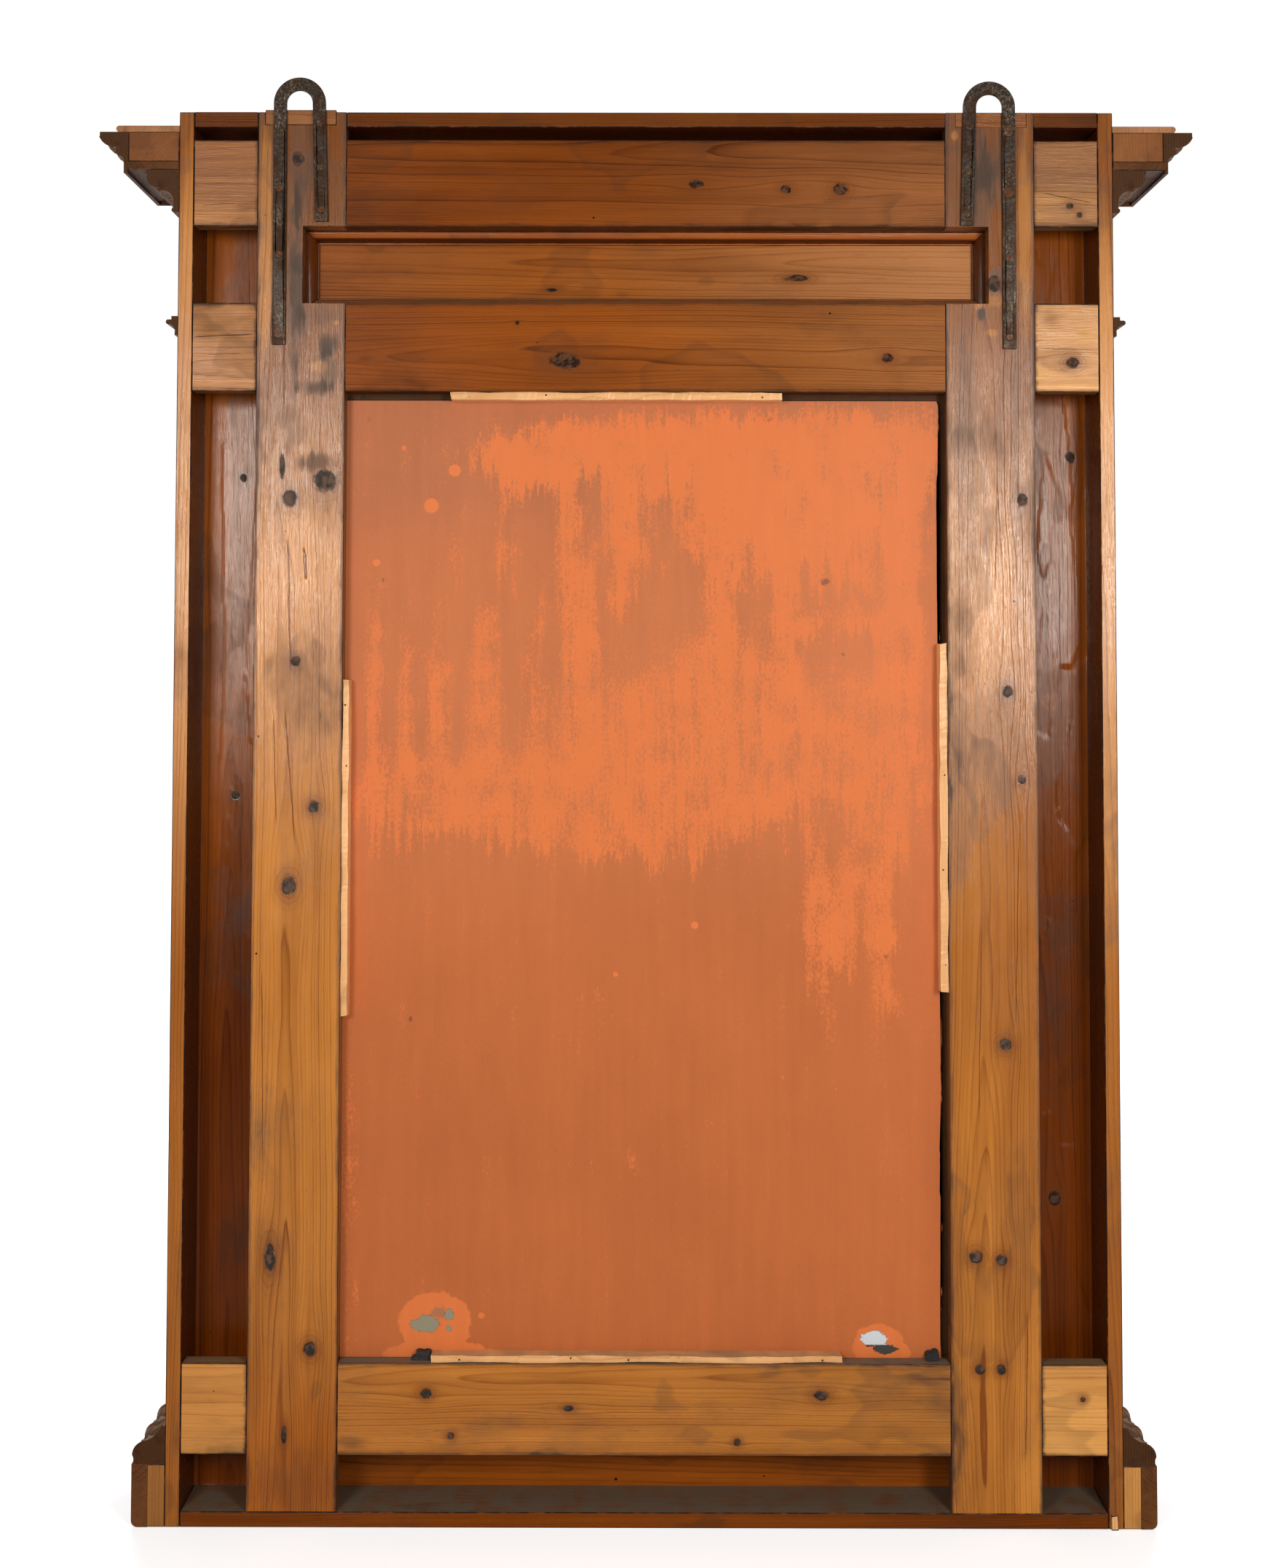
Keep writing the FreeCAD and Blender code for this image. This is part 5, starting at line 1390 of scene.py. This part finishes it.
def joint_lines(node):
    """The edges of a node's back face where dirt gathers: |x| and z of its box."""
    low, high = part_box(node)
    paired = low.x < -STILE_OUTER and high.x > STILE_OUTER and node.endswith("rails")
    inner = STILE_OUTER if paired else min(abs(low.x), abs(high.x))
    return (0, inner), (0, max(abs(low.x), abs(high.x))), (2, low.z), (2, high.z)


EDGE = edge_dirt_and_gap_shade()
SHOWN = wood("shown side", "Z", pith=(0.0, 0.02), seed=40.0, holes=0.0, **SHOWN_SIDE)
BOARD_WEAR, HANGER_WEAR, SCREW_WEAR = 0.0014, 0.0009, 0.0003
for node in list(BOARDS):
    joints = joint_lines(node) if node.endswith(("_rail", "_rails")) else ()
    if node in ("stile_left", "stile_right"):
        joints = joint_lines(node)[:2]
    outer, inward = None, ()
    if node.startswith("side_board"):
        outer, inward = SHOWN, (BACK, RIGHT if node.endswith("left") else LEFT)
    dress(node, board_finish(node, joints), BOARD_WEAR, EDGE, outer, inward)
for side in ("left", "right"):
    dress(f"hanger_{side}", IRON, HANGER_WEAR)
for size in ("large", "small"):
    dress(f"hanger_screws_{size}", SCREW, SCREW_WEAR)

# Floor, light and camera.
# FILL is the strength of the world's light, and DIM_ROOM that of the room in reflections. FLOOR_GLOW is two
# distances from the mirror's middle and the strengths of the floor's glow there, for the camera alone.
FILL, DIM_ROOM, ROOM_EDGE = 0.31, 0.06, 0.30
FLOOR_SIZE, FLOOR_TONE, MIRRORED_FLOOR = 40.0, 0.80, 0.90
FLOOR_GLOW = (0.9, 3.0, 0.52, 1.0)


def floor():
    """A pale floor that keeps the shadow. Reflections see it as bright as the backdrop on either side."""
    bpy.ops.mesh.primitive_plane_add(size=FLOOR_SIZE)
    ground = bpy.context.object
    ground.name = "floor"
    material = bpy.data.materials.new("pale floor")
    material.use_nodes = True
    shading = Shading(material.node_tree)
    seen, glossy = (shading.field("ShaderNodeLightPath", f"Is {kind} Ray") for kind in ("Camera", "Glossy"))
    place = shading.field("ShaderNodeNewGeometry", "Position")
    before = shading.math("LESS_THAN", shading.parts(place)[1], CAD_BOX[0][1])
    glow = shading.node("ShaderNodeEmission")
    strength = shading.largest(seen * shading.spread(shading.vector("LENGTH", place), *FLOOR_GLOW),
                               glossy * before * MIRRORED_FLOOR)
    shading.feed(glow.inputs["Strength"], strength)
    matt = shading.node("ShaderNodeBsdfDiffuse", shading.spread(glossy, 0.0, 1.0, FLOOR_TONE, 2 * DIM_ROOM))
    both = shading.node("ShaderNodeAddShader")
    output = shading.node("ShaderNodeOutputMaterial")
    shading.tree.links.new(matt.outputs[0], both.inputs[0])
    shading.tree.links.new(glow.outputs[0], both.inputs[1])
    shading.tree.links.new(both.outputs[0], output.inputs["Surface"])
    ground.data.materials.append(material)


def backdrop():
    """White for the camera and through glass. Reflections show white before the mirror, a dim room behind."""
    world = bpy.data.worlds.new("studio")
    world.use_nodes = True
    bpy.context.scene.world = world
    shading = Shading(world.node_tree)
    kinds = ("Camera", "Transmission", "Glossy")
    seen, through, glossy = (shading.field("ShaderNodeLightPath", f"Is {kind} Ray") for kind in kinds)
    toward = shading.parts(shading.field("ShaderNodeTexCoord", "Generated"))[1]
    mirrored = shading.spread(toward, ROOM_EDGE, -ROOM_EDGE, DIM_ROOM, 1.0)
    light = shading.node("ShaderNodeBackground", (1.0, 1.0, 1.0))
    strength = shading.largest(glossy * (mirrored - FILL) + FILL, shading.largest(seen, through))
    shading.feed(light.inputs["Strength"], strength)
    output = shading.node("ShaderNodeOutputWorld")
    shading.tree.links.new(light.outputs[0], output.inputs["Surface"])


def softbox(name, place, aim, size, power, mirrored):
    lamp = bpy.data.lights.new(name, "AREA")
    lamp.shape = "RECTANGLE"
    lamp.size, lamp.size_y = size
    lamp.energy = power
    holder = bpy.data.objects.new(name, lamp)
    holder.location = place
    holder.rotation_euler = (Vector(aim) - Vector(place)).to_track_quat("-Z", "Y").to_euler()
    holder.visible_glossy = mirrored
    bpy.context.collection.objects.link(holder)


def camera():
    pitch, yaw, roll = CAMERA_PITCH, CAMERA_YAW, CAMERA_ROLL
    ahead = Vector((math.sin(yaw) * math.cos(pitch), -math.cos(yaw) * math.cos(pitch), math.sin(pitch)))
    level = ahead.cross(Vector((0, 0, 1))).normalized()
    rise = level.cross(ahead)
    right = math.cos(roll) * level + math.sin(roll) * rise
    up = math.cos(roll) * rise - math.sin(roll) * level
    data = bpy.data.cameras.new("camera")
    data.sensor_width = SENSOR
    data.lens = FOCAL_PIXELS / PICTURE_HEIGHT * SENSOR
    data.shift_y = -AXIS_ABOVE_CENTRE / PICTURE_HEIGHT
    holder = bpy.data.objects.new("camera", data)
    matrix = Matrix((right, up, -ahead)).transposed().to_4x4()
    matrix.translation = Vector(CAMERA_PLACE)
    holder.matrix_world = matrix
    bpy.context.collection.objects.link(holder)
    bpy.context.scene.camera = holder


# The lamps: place, aim, size, power, and whether reflections show the lamp.
SOFTBOXES = {
    "key left": ((1.24, 2.60, 1.62), (0.15, 0.1, 1.05), (0.64, 0.92), 28.0, True),
    "key right": ((-1.21, 2.60, 1.55), (-0.15, 0.1, 1.05), (0.50, 0.80), 34.0, True),
    "front left": ((-1.5, -2.8, 2.0), (0, 0, 1.0), (1.2, 1.6), 45.0, False),
    "front right": ((1.5, -2.8, 2.0), (0, 0, 1.0), (1.2, 1.6), 45.0, False),
}
floor()
backdrop()
for name, settings in SOFTBOXES.items():
    softbox(name, *settings)
camera()
bpy.context.scene.view_settings.view_transform = "Standard"
